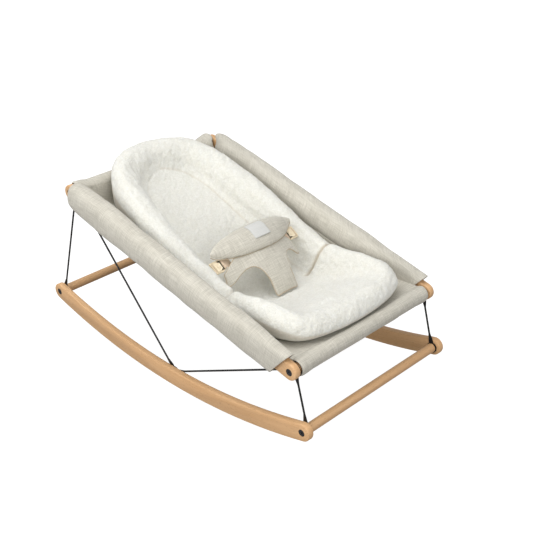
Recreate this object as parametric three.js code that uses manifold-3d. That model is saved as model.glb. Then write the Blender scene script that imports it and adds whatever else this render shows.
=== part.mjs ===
// Baby rocker seat: two curved wooden rockers, a steel rod truss on each side, a padded linen
// seat on a wooden frame, a plush insert and a T-shaped harness.
// Millimetres, +Z up. The sitter's head end is +Y, the sitter's right is -X, the floor is z = 0.
import * as THREE from "three";
import { mergeVertices } from "three/addons/utils/BufferGeometryUtils.js";
import Module from "manifold-3d";

const wasm = await Module();
wasm.setup();

// ---- driving dimensions -------------------------------------------------------------------
const TRUSS_GAP = 400; // between the middle planes of the two rod trusses
const BOARD = 15; // thickness of rockers and rails
const FIT = 0.3; // gap between touching pieces
const EDGE = 2.5; // rounding of the board edges

const ROCKER_RADIUS = 1455; // running edge of the rocker
const ROCKER_HEIGHT = 38;
const ROCKER_REACH = 389.5; // from the middle of the rocker to its end bolt, along the floor

const RAIL_HEIGHT = 35;
const RAIL_LENGTH = 681; // between the rail's two bolts
const RAIL_SLOPE = THREE.MathUtils.degToRad(13.55);
const RAIL_FOOT = { y: -355, z: 195.5 }; // foot bolt of the rail
const BRACE_FOOT = { y: -3, z: 22 }; // where diagonal and brace meet on the rocker

const ROD_RADIUS = 2.1;
const EYE_RADIUS = 12;
const EYE_THICK = 1.9;
const PADDLE_WIDTH = 10;

const DOWEL_RADIUS = 10.2;
const BOLT_RADIUS = 3;
const BOLT_HEAD_RADIUS = 7.5;
const BOLT_HEAD_THICK = 2.9;
const BOLT_LENGTH = 46;
const HOLE_CLEARANCE = 0.3; // radial, round every bolt and screw
const SCREW_RADIUS = 2.2;
const SCREW_HEAD_RADIUS = 6;

const SLEEVE_HALF_WIDTH = 24;
const SLEEVE_HALF_HEIGHT = 33;
const SLEEVE_BORE_CLEARANCE = 0.8; // round the rail
const BAR_SLEEVE_RADIUS = 15.5;
const BAR_SLEEVE_CLEARANCE = 0.5;
const CLOTH = 3; // thickness of the seat sling
const INSERT_GAP = 1.5; // between sling and insert

// ---- derived places -----------------------------------------------------------------------
const HALF_GAP = TRUSS_GAP / 2;
const OUTER_EYE = [HALF_GAP + 0.3, HALF_GAP + 0.3 + EYE_THICK];
const INNER_EYE = [HALF_GAP - EYE_THICK, HALF_GAP];
const BOARD_IN = OUTER_EYE[1] + FIT;
const BOARD_OUT = BOARD_IN + BOARD;
const BOARD_MID = (BOARD_IN + BOARD_OUT) / 2;
const RAIL_DIR = { y: Math.cos(RAIL_SLOPE), z: Math.sin(RAIL_SLOPE) };
const SIDES = { right: -1, left: 1 };

// A point of the seat's own plane: s runs from the rail's foot bolt to its head bolt,
// n stands off the rails' plane.
function seatPoint(x, s, n) {
  const y = RAIL_FOOT.y + s * RAIL_DIR.y - n * RAIL_DIR.z;
  const z = RAIL_FOOT.z + s * RAIL_DIR.z + n * RAIL_DIR.y;
  return new THREE.Vector3(x, y, z);
}
function nodeAt(s, n) {
  const p = seatPoint(0, s, n);
  return { y: p.y, z: p.z };
}
const RAIL_HEAD = nodeAt(RAIL_LENGTH, 0);
const BAND_RADIUS = ROCKER_RADIUS - ROCKER_HEIGHT / 2;
const ROCKER_ANGLE = Math.asin(ROCKER_REACH / BAND_RADIUS);
const ROCKER_STEPS = 25; // odd, so that a flat of the running edge lies on the floor
const ROCKER_CENTRE_Z = ROCKER_RADIUS * Math.cos(ROCKER_ANGLE / ROCKER_STEPS);
const ROCKER_END_Z = ROCKER_CENTRE_Z - BAND_RADIUS * Math.cos(ROCKER_ANGLE);
const BASE_HEAD = { y: ROCKER_REACH, z: ROCKER_END_Z };
const BASE_FOOT = { y: -ROCKER_REACH, z: ROCKER_END_Z };

// ---- materials ----------------------------------------------------------------------------
const material = (color, roughness, metalness = 0) =>
  new THREE.MeshStandardMaterial({ color, roughness, metalness });
const WOOD = material(0xc8a578, 0.55);
const STEEL = material(0x1b1b1c, 0.45, 0.6);
const LINEN = material(0xcfc9bb, 0.95);
const PLUSH = material(0xefede4, 1.0);
const WEBBING = material(0xd9c3a8, 0.9);
const PLASTIC = material(0xe9dcc3, 0.5);
const LABEL = material(0xf2f2ee, 0.8);

// ---- helpers ------------------------------------------------------------------------------
const part = new THREE.Group();

// A geometry as a manifold solid, for booleans.
function solid(geometry) {
  geometry.deleteAttribute("normal");
  geometry.deleteAttribute("uv");
  const merged = mergeVertices(geometry, 1e-4);
  return new wasm.Manifold(
    new wasm.Mesh({
      numProp: 3,
      vertProperties: merged.attributes.position.array,
      triVerts: new Uint32Array(merged.index.array),
    }),
  );
}

function addSolid(name, made, look) {
  const mesh = made.getMesh();
  const geometry = new THREE.BufferGeometry();
  geometry.setAttribute("position", new THREE.BufferAttribute(mesh.vertProperties, 3));
  geometry.setIndex(new THREE.BufferAttribute(mesh.triVerts, 1));
  geometry.computeVertexNormals();
  const piece = new THREE.Mesh(geometry, look);
  piece.name = name;
  part.add(piece);
}

// A round bar parallel to X, between two x positions.
function crossBar(radius, x0, x1, at, sides = 12) {
  const bar = new THREE.CylinderGeometry(radius, radius, Math.abs(x1 - x0), sides);
  bar.rotateZ(Math.PI / 2);
  bar.translate((x0 + x1) / 2, at.y, at.z);
  return solid(bar);
}

// A flat bar from one point to another of a plane x = constant.
function flatBar(from, to, width, x0, x1) {
  const long = Math.hypot(to.y - from.y, to.z - from.z);
  const bar = new THREE.BoxGeometry(Math.abs(x1 - x0), long, width);
  bar.rotateX(Math.atan2(to.z - from.z, to.y - from.y));
  bar.translate((x0 + x1) / 2, (from.y + to.y) / 2, (from.z + to.z) / 2);
  return solid(bar);
}

// A board cut from a 2-D outline, its edges rounded, its inner face at BOARD_IN on the given side.
function board(shape, side, segments, toWorld) {
  const geometry = new THREE.ExtrudeGeometry(shape, {
    depth: BOARD - 2 * EDGE,
    bevelEnabled: true,
    bevelThickness: EDGE,
    bevelSize: EDGE,
    bevelOffset: -EDGE,
    bevelSegments: 2,
    curveSegments: segments,
  });
  geometry.translate(0, 0, (side > 0 ? BOARD_IN : -BOARD_OUT) + EDGE);
  geometry.applyMatrix4(toWorld);
  return solid(geometry);
}

const X_AXIS = new THREE.Vector3(1, 0, 0);
const SEAT_S = new THREE.Vector3(0, RAIL_DIR.y, RAIL_DIR.z);
const SEAT_N = new THREE.Vector3(0, -RAIL_DIR.z, RAIL_DIR.y);
const FLOOR_FRAME = new THREE.Matrix4().makeBasis(
  new THREE.Vector3(0, 1, 0),
  new THREE.Vector3(0, 0, 1),
  X_AXIS,
);
const SEAT_FRAME = new THREE.Matrix4()
  .makeBasis(SEAT_S, SEAT_N, X_AXIS)
  .setPosition(0, RAIL_FOOT.y, RAIL_FOOT.z);

// A smooth curve through [position, value] pairs, by Catmull-Rom slopes.
function profile(pairs) {
  const slope = pairs.map((pair, i) => {
    const before = pairs[Math.max(i - 1, 0)];
    const after = pairs[Math.min(i + 1, pairs.length - 1)];
    return (after[1] - before[1]) / (after[0] - before[0]);
  });
  return (at) => {
    let i = 0;
    while (i < pairs.length - 2 && at > pairs[i + 1][0]) i += 1;
    const [a0, v0] = pairs[i];
    const [a1, v1] = pairs[i + 1];
    const t = THREE.MathUtils.clamp((at - a0) / (a1 - a0), 0, 1);
    const step = a1 - a0;
    const h0 = (1 + 2 * t) * (1 - t) * (1 - t);
    const h1 = t * (1 - t) * (1 - t);
    const h2 = t * t * (3 - 2 * t);
    const h3 = t * t * (t - 1);
    return h0 * v0 + h1 * step * slope[i] + h2 * v1 + h3 * step * slope[i + 1];
  };
}

// A closed skin over a grid: the points of the top, then those of the bottom, joined at the rim.
function gridSkin(top, bottom, columns, rows) {
  const points = [];
  for (const face of [top, bottom])
    for (let j = 0; j <= rows; j += 1)
      for (let i = 0; i <= columns; i += 1) {
        const p = face(i / columns, j / rows);
        points.push(p.x, p.y, p.z);
      }
  const layer = (columns + 1) * (rows + 1);
  const at = (i, j, face) => face * layer + j * (columns + 1) + i;
  const index = [];
  const quad = (a, b, c, d) => index.push(a, b, c, a, c, d);
  for (let j = 0; j < rows; j += 1)
    for (let i = 0; i < columns; i += 1) {
      quad(at(i, j, 0), at(i + 1, j, 0), at(i + 1, j + 1, 0), at(i, j + 1, 0));
      quad(at(i, j, 1), at(i, j + 1, 1), at(i + 1, j + 1, 1), at(i + 1, j, 1));
    }
  for (let i = 0; i < columns; i += 1) {
    quad(at(i, 0, 0), at(i, 0, 1), at(i + 1, 0, 1), at(i + 1, 0, 0));
    quad(at(i, rows, 0), at(i + 1, rows, 0), at(i + 1, rows, 1), at(i, rows, 1));
  }
  for (let j = 0; j < rows; j += 1) {
    quad(at(0, j, 0), at(0, j + 1, 0), at(0, j + 1, 1), at(0, j, 1));
    quad(at(columns, j, 0), at(columns, j, 1), at(columns, j + 1, 1), at(columns, j + 1, 0));
  }
  const geometry = new THREE.BufferGeometry();
  geometry.setAttribute("position", new THREE.Float32BufferAttribute(points, 3));
  geometry.setIndex(index);
  return solid(geometry);
}

// ---- bolts and the holes they need ----------------------------------------------------------
const HEAD_TOP = BOARD_OUT - 0.3;
const HEAD_BASE = HEAD_TOP - BOLT_HEAD_THICK;
const BOLT_TIP = HEAD_BASE - BOLT_LENGTH;

function boltHole(side, at) {
  const shank = BOLT_RADIUS + HOLE_CLEARANCE;
  const through = crossBar(shank, side * (BOLT_TIP - 2), side * (BOARD_OUT + 1), at);
  const seat = BOLT_HEAD_RADIUS + HOLE_CLEARANCE;
  const counterbore = crossBar(seat, side * (HEAD_BASE - FIT), side * (BOARD_OUT + 1), at, 22);
  return through.add(counterbore);
}

function bolt(side, at) {
  const head = crossBar(BOLT_HEAD_RADIUS, side * HEAD_BASE, side * HEAD_TOP, at, 22);
  const shank = crossBar(BOLT_RADIUS, side * BOLT_TIP, side * (HEAD_BASE + 0.5), at);
  const socket = crossBar(2.3, side * (HEAD_TOP - 2), side * (HEAD_TOP + 1), at, 6);
  return head.add(shank).subtract(socket);
}

const SCREW_HEAD = [INNER_EYE[0] - FIT - 3, INNER_EYE[0] - FIT];
const SCREW_TIP = BOARD_IN + 10;

// ---- rockers --------------------------------------------------------------------------------
const DOWN = -Math.PI / 2;
function arcPoints(centre, radius, from, to, steps) {
  const points = [];
  for (let i = 0; i <= steps; i += 1) {
    const a = THREE.MathUtils.lerp(from, to, i / steps);
    points.push(
      new THREE.Vector2(centre.y + radius * Math.cos(a), centre.z + radius * Math.sin(a)),
    );
  }
  return points;
}
const rockerCentre = { y: 0, z: ROCKER_CENTRE_Z };
const footEnd = DOWN - ROCKER_ANGLE;
const headEnd = DOWN + ROCKER_ANGLE;
const rockerOutline = [
  arcPoints(rockerCentre, ROCKER_RADIUS, footEnd, headEnd, ROCKER_STEPS),
  arcPoints(BASE_HEAD, ROCKER_HEIGHT / 2, headEnd, headEnd + Math.PI, 14),
  arcPoints(rockerCentre, ROCKER_RADIUS - ROCKER_HEIGHT, headEnd, footEnd, ROCKER_STEPS),
  arcPoints(BASE_FOOT, ROCKER_HEIGHT / 2, footEnd + Math.PI, footEnd + 2 * Math.PI, 14),
];
const rockerShape = new THREE.Shape(rockerOutline.flatMap((points) => points.slice(0, -1)));
for (const [name, side] of Object.entries(SIDES)) {
  const screwHole = crossBar(
    SCREW_RADIUS + HOLE_CLEARANCE, side * (BOARD_IN - 1), side * (SCREW_TIP + 1), BRACE_FOOT, 20,
  );
  const rocker = board(rockerShape, side, 1, FLOOR_FRAME)
    .subtract(boltHole(side, BASE_HEAD))
    .subtract(boltHole(side, BASE_FOOT))
    .subtract(screwHole);
  addSolid(`rocker_${name}`, rocker, WOOD);
}

// ---- rails ----------------------------------------------------------------------------------
const railShape = new THREE.Shape();
railShape.absarc(0, 0, RAIL_HEIGHT / 2, Math.PI / 2, (3 * Math.PI) / 2);
railShape.absarc(RAIL_LENGTH, 0, RAIL_HEIGHT / 2, -Math.PI / 2, Math.PI / 2);
for (const [name, side] of Object.entries(SIDES)) {
  const rail = board(railShape, side, 9, SEAT_FRAME)
    .subtract(boltHole(side, RAIL_FOOT))
    .subtract(boltHole(side, RAIL_HEAD));
  addSolid(`side_rail_${name}`, rail, WOOD);
}

// ---- dowels ---------------------------------------------------------------------------------
// The base dowels meet one eye at each end, the seat's crossbars meet two.
const CHAMFER = 1.2;
const DOWEL_END = { base: OUTER_EYE[0] - FIT, seat: INNER_EYE[0] - FIT };
function dowel(half, at) {
  const outline = [
    new THREE.Vector2(0, -half),
    new THREE.Vector2(DOWEL_RADIUS - CHAMFER, -half),
    new THREE.Vector2(DOWEL_RADIUS, -half + CHAMFER),
    new THREE.Vector2(DOWEL_RADIUS, half - CHAMFER),
    new THREE.Vector2(DOWEL_RADIUS - CHAMFER, half),
    new THREE.Vector2(0, half),
  ];
  const geometry = new THREE.LatheGeometry(outline, 28);
  geometry.rotateZ(Math.PI / 2);
  geometry.translate(0, at.y, at.z);
  return solid(geometry).subtract(boltHole(1, at)).subtract(boltHole(-1, at));
}
addSolid("base_dowel_foot", dowel(DOWEL_END.base, BASE_FOOT), WOOD);
addSolid("base_dowel_head", dowel(DOWEL_END.base, BASE_HEAD), WOOD);
addSolid("crossbar_foot", dowel(DOWEL_END.seat, RAIL_FOOT), WOOD);
addSolid("crossbar_head", dowel(DOWEL_END.seat, RAIL_HEAD), WOOD);

// ---- rods -----------------------------------------------------------------------------------
// A round steel rod, both ends hammered flat into a drilled eye that lies in its own layer.
const FLAT_FROM = 17;
const ROUND_FROM = 32;
const along = (from, to, d) => {
  const long = Math.hypot(to.y - from.y, to.z - from.z);
  return { y: from.y + ((to.y - from.y) * d) / long, z: from.z + ((to.z - from.z) * d) / long };
};
function roundBar(from, to, radius, x) {
  const long = Math.hypot(to.y - from.y, to.z - from.z);
  const bar = new THREE.CylinderGeometry(radius, radius, long, 10);
  bar.rotateX(Math.atan2(to.z - from.z, to.y - from.y));
  bar.translate(x, (from.y + to.y) / 2, (from.z + to.z) / 2);
  return solid(bar);
}
function rodEnd(side, from, to, layer, hole) {
  const [near, far] = layer.map((x) => side * x);
  const neck = along(from, to, FLAT_FROM);
  const flat = flatBar(along(from, to, FLAT_FROM - 0.5), neck, PADDLE_WIDTH, near, far);
  const round = roundBar(
    along(from, to, ROUND_FROM), along(from, to, ROUND_FROM + 1), ROD_RADIUS, side * ROD_X,
  );
  const eye = crossBar(EYE_RADIUS, near, far, from, 20);
  return eye
    .add(flatBar(from, neck, PADDLE_WIDTH, near, far))
    .add(wasm.Manifold.hull([flat, round]))
    .subtract(crossBar(hole, side * (HALF_GAP - 6), side * (HALF_GAP + 6), from));
}
const ROD_X = HALF_GAP + 0.15;
const BOLT_EYE = BOLT_RADIUS + HOLE_CLEARANCE;
const SCREW_EYE = SCREW_RADIUS + HOLE_CLEARANCE;
const RODS = {
  rod_head: [BASE_HEAD, RAIL_HEAD, OUTER_EYE, OUTER_EYE, BOLT_EYE, BOLT_EYE],
  rod_diagonal: [RAIL_HEAD, BRACE_FOOT, INNER_EYE, INNER_EYE, BOLT_EYE, SCREW_EYE],
  rod_brace: [RAIL_FOOT, BRACE_FOOT, INNER_EYE, OUTER_EYE, BOLT_EYE, SCREW_EYE],
  rod_foot: [BASE_FOOT, RAIL_FOOT, OUTER_EYE, OUTER_EYE, BOLT_EYE, BOLT_EYE],
};
for (const [name, side] of Object.entries(SIDES))
  for (const [rod, [from, to, layerFrom, layerTo, holeFrom, holeTo]] of Object.entries(RODS)) {
    const middle = roundBar(
      along(from, to, ROUND_FROM), along(to, from, ROUND_FROM), ROD_RADIUS, side * ROD_X,
    );
    const made = middle
      .add(rodEnd(side, from, to, layerFrom, holeFrom))
      .add(rodEnd(side, to, from, layerTo, holeTo));
    addSolid(`${rod}_${name}`, made, STEEL);
  }

// ---- bolts and screws -------------------------------------------------------------------------
const BOLTED = {
  bolt_base_head: BASE_HEAD,
  bolt_base_foot: BASE_FOOT,
  bolt_rail_head: RAIL_HEAD,
  bolt_rail_foot: RAIL_FOOT,
};
for (const [name, side] of Object.entries(SIDES)) {
  for (const [piece, at] of Object.entries(BOLTED))
    addSolid(`${piece}_${name}`, bolt(side, at), STEEL);
  const [headIn, headOut] = SCREW_HEAD;
  const screw = crossBar(SCREW_HEAD_RADIUS, side * headIn, side * headOut, BRACE_FOOT)
    .add(crossBar(SCREW_RADIUS, side * (headOut - 0.5), side * SCREW_TIP, BRACE_FOOT, 20))
    .subtract(crossBar(1.8, side * (headIn - 1), side * (headIn + 1.6), BRACE_FOOT, 6));
  addSolid(`screw_brace_${name}`, screw, STEEL);
}

// ---- padded sleeves -----------------------------------------------------------------------------
// Each side sleeve is a padded tube over the rail, cut slanting at the foot end. At the head end
// its inner side stops short of the head crossbar, and a slit lets the diagonal rod out below.
const SLEEVE_HEAD_OUTER = RAIL_LENGTH - 5; // over most of the head bolt
const SLEEVE_HEAD_INNER = RAIL_LENGTH - BAR_SLEEVE_RADIUS - 2.5;
const CUT_AT = 26; // where the slanting foot cut meets the rail's middle line
const CUT_LEAN = 0.5;
const ROUNDNESS = 2.5; // exponent of the sleeve's section
function sleeveShape() {
  const points = [];
  for (let i = 0; i < 40; i += 1) {
    const a = (i / 40) * 2 * Math.PI;
    const bulge = (v) => Math.sign(v) * Math.abs(v) ** (2 / ROUNDNESS);
    points.push(
      new THREE.Vector2(
        SLEEVE_HALF_WIDTH * bulge(Math.cos(a)),
        SLEEVE_HALF_HEIGHT * bulge(Math.sin(a)),
      ),
    );
  }
  return new THREE.Shape(points);
}
function alongRail(geometry, x, s) {
  const frame = new THREE.Matrix4().makeBasis(X_AXIS.clone().negate(), SEAT_N, SEAT_S);
  geometry.applyMatrix4(frame.setPosition(seatPoint(x, s, 0)));
  return solid(geometry);
}
function seatBox(x0, x1, s0, s1, n0, n1) {
  const box = new THREE.BoxGeometry(Math.abs(x1 - x0), n1 - n0, s1 - s0);
  box.translate(-(x0 + x1) / 2, (n0 + n1) / 2, (s0 + s1) / 2);
  return alongRail(box, 0, 0);
}
const REACH = 2 * SLEEVE_HALF_HEIGHT;
const footCut = new THREE.Shape([
  new THREE.Vector2(-REACH, -REACH),
  new THREE.Vector2(CUT_AT + CUT_LEAN * REACH, -REACH),
  new THREE.Vector2(CUT_AT - CUT_LEAN * REACH, REACH),
  new THREE.Vector2(-REACH, REACH),
]);
for (const [name, side] of Object.entries(SIDES)) {
  const tube = new THREE.ExtrudeGeometry(sleeveShape(), {
    depth: SLEEVE_HEAD_OUTER,
    bevelEnabled: false,
    steps: 1,
  });
  const cutter = new THREE.ExtrudeGeometry(footCut, {
    depth: 4 * SLEEVE_HALF_WIDTH,
    bevelEnabled: false,
  });
  cutter.translate(0, 0, side * BOARD_MID - 2 * SLEEVE_HALF_WIDTH);
  cutter.applyMatrix4(SEAT_FRAME);
  const halfBore = BOARD / 2 + SLEEVE_BORE_CLEARANCE;
  const boreHeight = RAIL_HEIGHT / 2 + SLEEVE_BORE_CLEARANCE;
  const x0 = side * (BOARD_MID - halfBore);
  const x1 = side * (BOARD_MID + halfBore);
  const slit = flatBar(
    RAIL_HEAD, along(RAIL_HEAD, BRACE_FOOT, 110), 12, side * (INNER_EYE[0] - 1.5), x0 + side,
  );
  const sleeve = alongRail(tube, side * BOARD_MID, 0)
    .subtract(solid(cutter))
    .subtract(seatBox(x0, x1, -REACH, RAIL_LENGTH + REACH, -boreHeight, boreHeight))
    .subtract(
      seatBox(
        side * (BOARD_MID - 2 * SLEEVE_HALF_WIDTH), x0 + side,
        SLEEVE_HEAD_INNER, RAIL_LENGTH + REACH, -REACH, REACH,
      ),
    )
    .subtract(slit);
  addSolid(`side_sleeve_${name}`, sleeve, LINEN);
}
const BAR_SLEEVE_END = INNER_EYE[0] - 2;
for (const [name, at] of [["foot_sleeve", RAIL_FOOT], ["head_sleeve", RAIL_HEAD]]) {
  const outer = crossBar(BAR_SLEEVE_RADIUS, -BAR_SLEEVE_END, BAR_SLEEVE_END, at, 36);
  const bore = DOWEL_RADIUS + BAR_SLEEVE_CLEARANCE;
  const inner = crossBar(bore, -BAR_SLEEVE_END - 1, BAR_SLEEVE_END + 1, at, 36);
  addSolid(name, outer.subtract(inner), LINEN);
}

// ---- seat sling ---------------------------------------------------------------------------------
// A tub of cloth between rails and crossbars. Its depth along the middle is given at fractions of
// the rail's length, and its side walls rise in a quarter curve to the side sleeves.
const SLING_HALF = BOARD_MID - SLEEVE_HALF_WIDTH - 2;
const SLING_FLAT = 0.38 * SLING_HALF;
const SLING_FOOT = BAR_SLEEVE_RADIUS + CLOTH + 0.7;
const SLING_HEAD = SLEEVE_HEAD_INNER - 1.5;
const atRail = (pairs) => profile(pairs.map(([f, v]) => [f * RAIL_LENGTH, v]));
const slingDepth = atRail([
  [0.026, 8], [0.09, -14], [0.165, -42], [0.25, -72], [0.355, -98], [0.49, -96],
  [0.66, -78], [0.83, -57], [0.93, -42], [0.977, -16],
]);
const slingEdge = atRail([[0.026, 9], [0.12, -2], [0.3, -8], [0.88, -8], [0.977, -4]]);
function slingHeight(x, s) {
  const t = THREE.MathUtils.clamp((Math.abs(x) - SLING_FLAT) / (SLING_HALF - SLING_FLAT), 0, 1);
  const rise = 1 - Math.sqrt(1 - 0.985 * t * t);
  return slingDepth(s) + (slingEdge(s) - slingDepth(s)) * rise;
}
function slingPoint(u, v, offset) {
  const angle = (u - 0.5) * Math.PI;
  const x = SLING_HALF * (0.55 * Math.sin(angle) + 0.9 * (u - 0.5));
  const s = THREE.MathUtils.lerp(SLING_FOOT, SLING_HEAD, v);
  const top = seatPoint(x, s, slingHeight(x, s));
  if (offset === 0) return top;
  const dx = seatPoint(x + 0.5, s, slingHeight(x + 0.5, s)).sub(
    seatPoint(x - 0.5, s, slingHeight(x - 0.5, s)),
  );
  const ds = seatPoint(x, s + 0.5, slingHeight(x, s + 0.5)).sub(
    seatPoint(x, s - 0.5, slingHeight(x, s - 0.5)),
  );
  return top.addScaledVector(dx.cross(ds).normalize(), -offset);
}
const sling = gridSkin((u, v) => slingPoint(u, v, 0), (u, v) => slingPoint(u, v, CLOTH), 20, 22);
addSolid("seat_sling", sling, LINEN);

// ---- plush insert ---------------------------------------------------------------------------------
// A padded nest: a low panel folded between back and seat, inside a thick rim all round.
// Half-widths and heights are given at fractions of the rail's length.
const HALF_WIDTHS = [
  [0.026, 0.6], [0.055, 0.84], [0.115, 0.945], [0.2, 0.955], [0.367, 0.945],
  [0.485, 0.97], [0.62, 0.985], [0.76, 0.95], [0.878, 0.865], [0.965, 0.7], [1.022, 0.44],
];
const INSERT_FOOT = 0.01 * RAIL_LENGTH;
const INSERT_HEAD = 1.055 * RAIL_LENGTH;
const INSERT_HALF = 0.965 * SLING_HALF;
const panelHeight = atRail([
  [0.04, 30], [0.11, 34], [0.165, 12], [0.22, -18], [0.3, -54], [0.36, -72], [0.44, -70],
  [0.59, -48], [0.71, -28], [0.82, -8], [0.895, 4], [0.94, 22], [0.985, 44], [1.05, 40],
]);
const rimHeight = atRail([
  [0.02, 42], [0.11, 52], [0.22, 36], [0.36, -4], [0.48, 8], [0.62, 28], [0.76, 44],
  [0.88, 54], [1.0, 58], [1.055, 48],
]);
const insertFloor = atRail([[0.8, -200], [0.9, -46], [0.94, -12], [0.98, 17], [1.06, 21]]);
const RIM_CREST = 30; // from the outline in to the rim's top
const rimInner = atRail([[0.05, 66], [0.48, 70], [0.66, 82], [1, 88]]); // in to the panel

const outlineCurve = new THREE.CatmullRomCurve3(
  [
    new THREE.Vector3(0, INSERT_FOOT, 0),
    ...HALF_WIDTHS.map(([f, w]) => new THREE.Vector3(w * INSERT_HALF, f * RAIL_LENGTH, 0)),
    new THREE.Vector3(0, INSERT_HEAD, 0),
    ...HALF_WIDTHS.map(
      ([f, w]) => new THREE.Vector3(-w * INSERT_HALF, f * RAIL_LENGTH, 0),
    ).reverse(),
  ],
  true,
  "centripetal",
);
const SPOKES = 56;
const RINGS = 12;
const outline = outlineCurve.getSpacedPoints(SPOKES).slice(0, SPOKES);
const heart = new THREE.Vector3(0, (INSERT_FOOT + INSERT_HEAD) / 2, 0);
const ease = (t) => t * t * (3 - 2 * t);
function distanceToOutline(p) {
  const nearest = new THREE.Vector3();
  return Math.min(
    ...outline.map((a, i) => {
      const edge = new THREE.Line3(a, outline[(i + 1) % SPOKES]);
      return edge.closestPointToPoint(p, true, nearest).distanceTo(p);
    }),
  );
}

function insertHeights(x, s, inward) {
  const floor = Math.max(slingHeight(x, s) + INSERT_GAP, insertFloor(s));
  const crest = rimHeight(s);
  const middle = (floor + crest) / 2;
  if (inward < RIM_CREST) {
    const t = 1 - inward / RIM_CREST;
    const round = Math.sqrt(Math.max(0, 1 - t * t));
    return [middle + (crest - middle) * round, middle - (middle - floor) * round];
  }
  const t = THREE.MathUtils.clamp((inward - RIM_CREST) / (rimInner(s) - RIM_CREST), 0, 1);
  return [THREE.MathUtils.lerp(crest, panelHeight(s), ease(t)), floor];
}

// Rings run from the outline to the middle, spaced closer on the rim.
function insertSolid() {
  const points = [];
  const index = [];
  for (let ring = 0; ring < RINGS; ring += 1) {
    const rho = 1 - (ring / RINGS) ** 1.45;
    outline.forEach((edge) => {
      const flat = heart.clone().lerp(edge, rho);
      const inward = distanceToOutline(flat);
      const [top, bottom] = insertHeights(flat.x, flat.y, inward);
      for (const height of ring === 0 ? [top] : [top, bottom]) {
        const p = seatPoint(flat.x, flat.y, height);
        points.push(p.x, p.y, p.z);
      }
    });
  }
  const [top, bottom] = insertHeights(heart.x, heart.y, 1e3);
  for (const height of [top, bottom]) {
    const p = seatPoint(heart.x, heart.y, height);
    points.push(p.x, p.y, p.z);
  }
  const at = (ring, spoke, face) => {
    const k = spoke % SPOKES;
    if (ring === RINGS) return points.length / 3 - 2 + face;
    return ring === 0 ? k : SPOKES + (ring - 1) * 2 * SPOKES + 2 * k + face;
  };
  for (let ring = 0; ring < RINGS; ring += 1)
    for (let k = 0; k < SPOKES; k += 1) {
      index.push(at(ring, k, 0), at(ring, k + 1, 0), at(ring + 1, k, 0));
      index.push(at(ring, k + 1, 1), at(ring, k, 1), at(ring + 1, k, 1));
      if (ring === RINGS - 1) continue;
      index.push(at(ring, k + 1, 0), at(ring + 1, k + 1, 0), at(ring + 1, k, 0));
      index.push(at(ring + 1, k + 1, 1), at(ring, k + 1, 1), at(ring + 1, k, 1));
    }
  const geometry = new THREE.BufferGeometry();
  geometry.setAttribute("position", new THREE.Float32BufferAttribute(points, 3));
  geometry.setIndex(index);
  return solid(geometry);
}
addSolid("insert", insertSolid(), PLUSH);

// ---- harness ----------------------------------------------------------------------------------------
// A T-shaped panel rises from the crotch seam to a padded waist piece that arches from side to side.
const HINGE = { s: 0.301 * RAIL_LENGTH, n: -46 }; // crotch seam
const WAIST = { s: 0.48 * RAIL_LENGTH, n: 30 }; // middle of the panel's top edge
const HARNESS_HALF = 0.59 * SLING_HALF;
const PANEL = 3.5;
const PAD_THICK = 14;
const slope = Math.atan2(WAIST.n - HINGE.n, WAIST.s - HINGE.s);
const rise = { s: Math.cos(slope), n: Math.sin(slope) };
const face = { s: -Math.sin(slope), n: Math.cos(slope) };
const PANEL_LENGTH = Math.hypot(WAIST.n - HINGE.n, WAIST.s - HINGE.s);
const seatVector = (v) =>
  SEAT_S.clone().multiplyScalar(v.s).addScaledVector(SEAT_N, v.n);

// On each side a buckle lies beside the panel, square to the arc that the harness swings on.
const BUCKLE = { x: 0.595 * SLING_HALF, s: 0.458 * RAIL_LENGTH, n: -6 };
const reach = Math.hypot(BUCKLE.s - HINGE.s, BUCKLE.n - HINGE.n);
const wide = { s: (BUCKLE.s - HINGE.s) / reach, n: (BUCKLE.n - HINGE.n) / reach };
const lift = { s: -wide.n, n: wide.s };
// o runs outwards from the buckle's middle, r along its width, h out of its face.
function bucklePoint(side, o, r, h) {
  const s = BUCKLE.s + wide.s * r + lift.s * h;
  const n = BUCKLE.n + wide.n * r + lift.n * h;
  return seatPoint(side * (BUCKLE.x + o), s, n);
}
function buckleBlock(side, o0, o1, halfWidth, h0, h1) {
  const box = new THREE.BoxGeometry(o1 - o0, 2 * halfWidth, h1 - h0);
  const frame = new THREE.Matrix4().makeBasis(X_AXIS, seatVector(wide), seatVector(lift));
  const middle = bucklePoint(side, (o0 + o1) / 2, 0, (h0 + h1) / 2);
  box.applyMatrix4(frame.setPosition(middle));
  return solid(box);
}
const TONGUE = { out: 9, in: -15, half: 11.6, low: -0.9, high: 3.6 };
const BUCKLE_FRAME = { in: -9, out: 15.2, half: TONGUE.half + 2.4, low: TONGUE.low - FIT - 1.8, high: 3 };
const STRAP_HALF = 10;
const STRAP = 1.4;
const BUCKLE_CLEARANCE = 0.6; // between the panel and the buckles

// The belt strap runs in from the tongue and dips under the pad. spare thickens it all round.
function beltShape(side, spare) {
  const beltPoint = (u, v, h) => {
    const o = THREE.MathUtils.lerp(-36, -11.4, u);
    const lifted = TONGUE.high + FIT + STRAP / 2 - 6 * (1 - u) ** 2;
    return bucklePoint(side, o, side * (v - 0.5) * 2 * (STRAP_HALF + spare), lifted + h);
  };
  return gridSkin(
    (u, v) => beltPoint(u, v, STRAP / 2 + spare),
    (u, v) => beltPoint(u, v, -STRAP / 2 - spare),
    8,
    2,
  );
}

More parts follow.
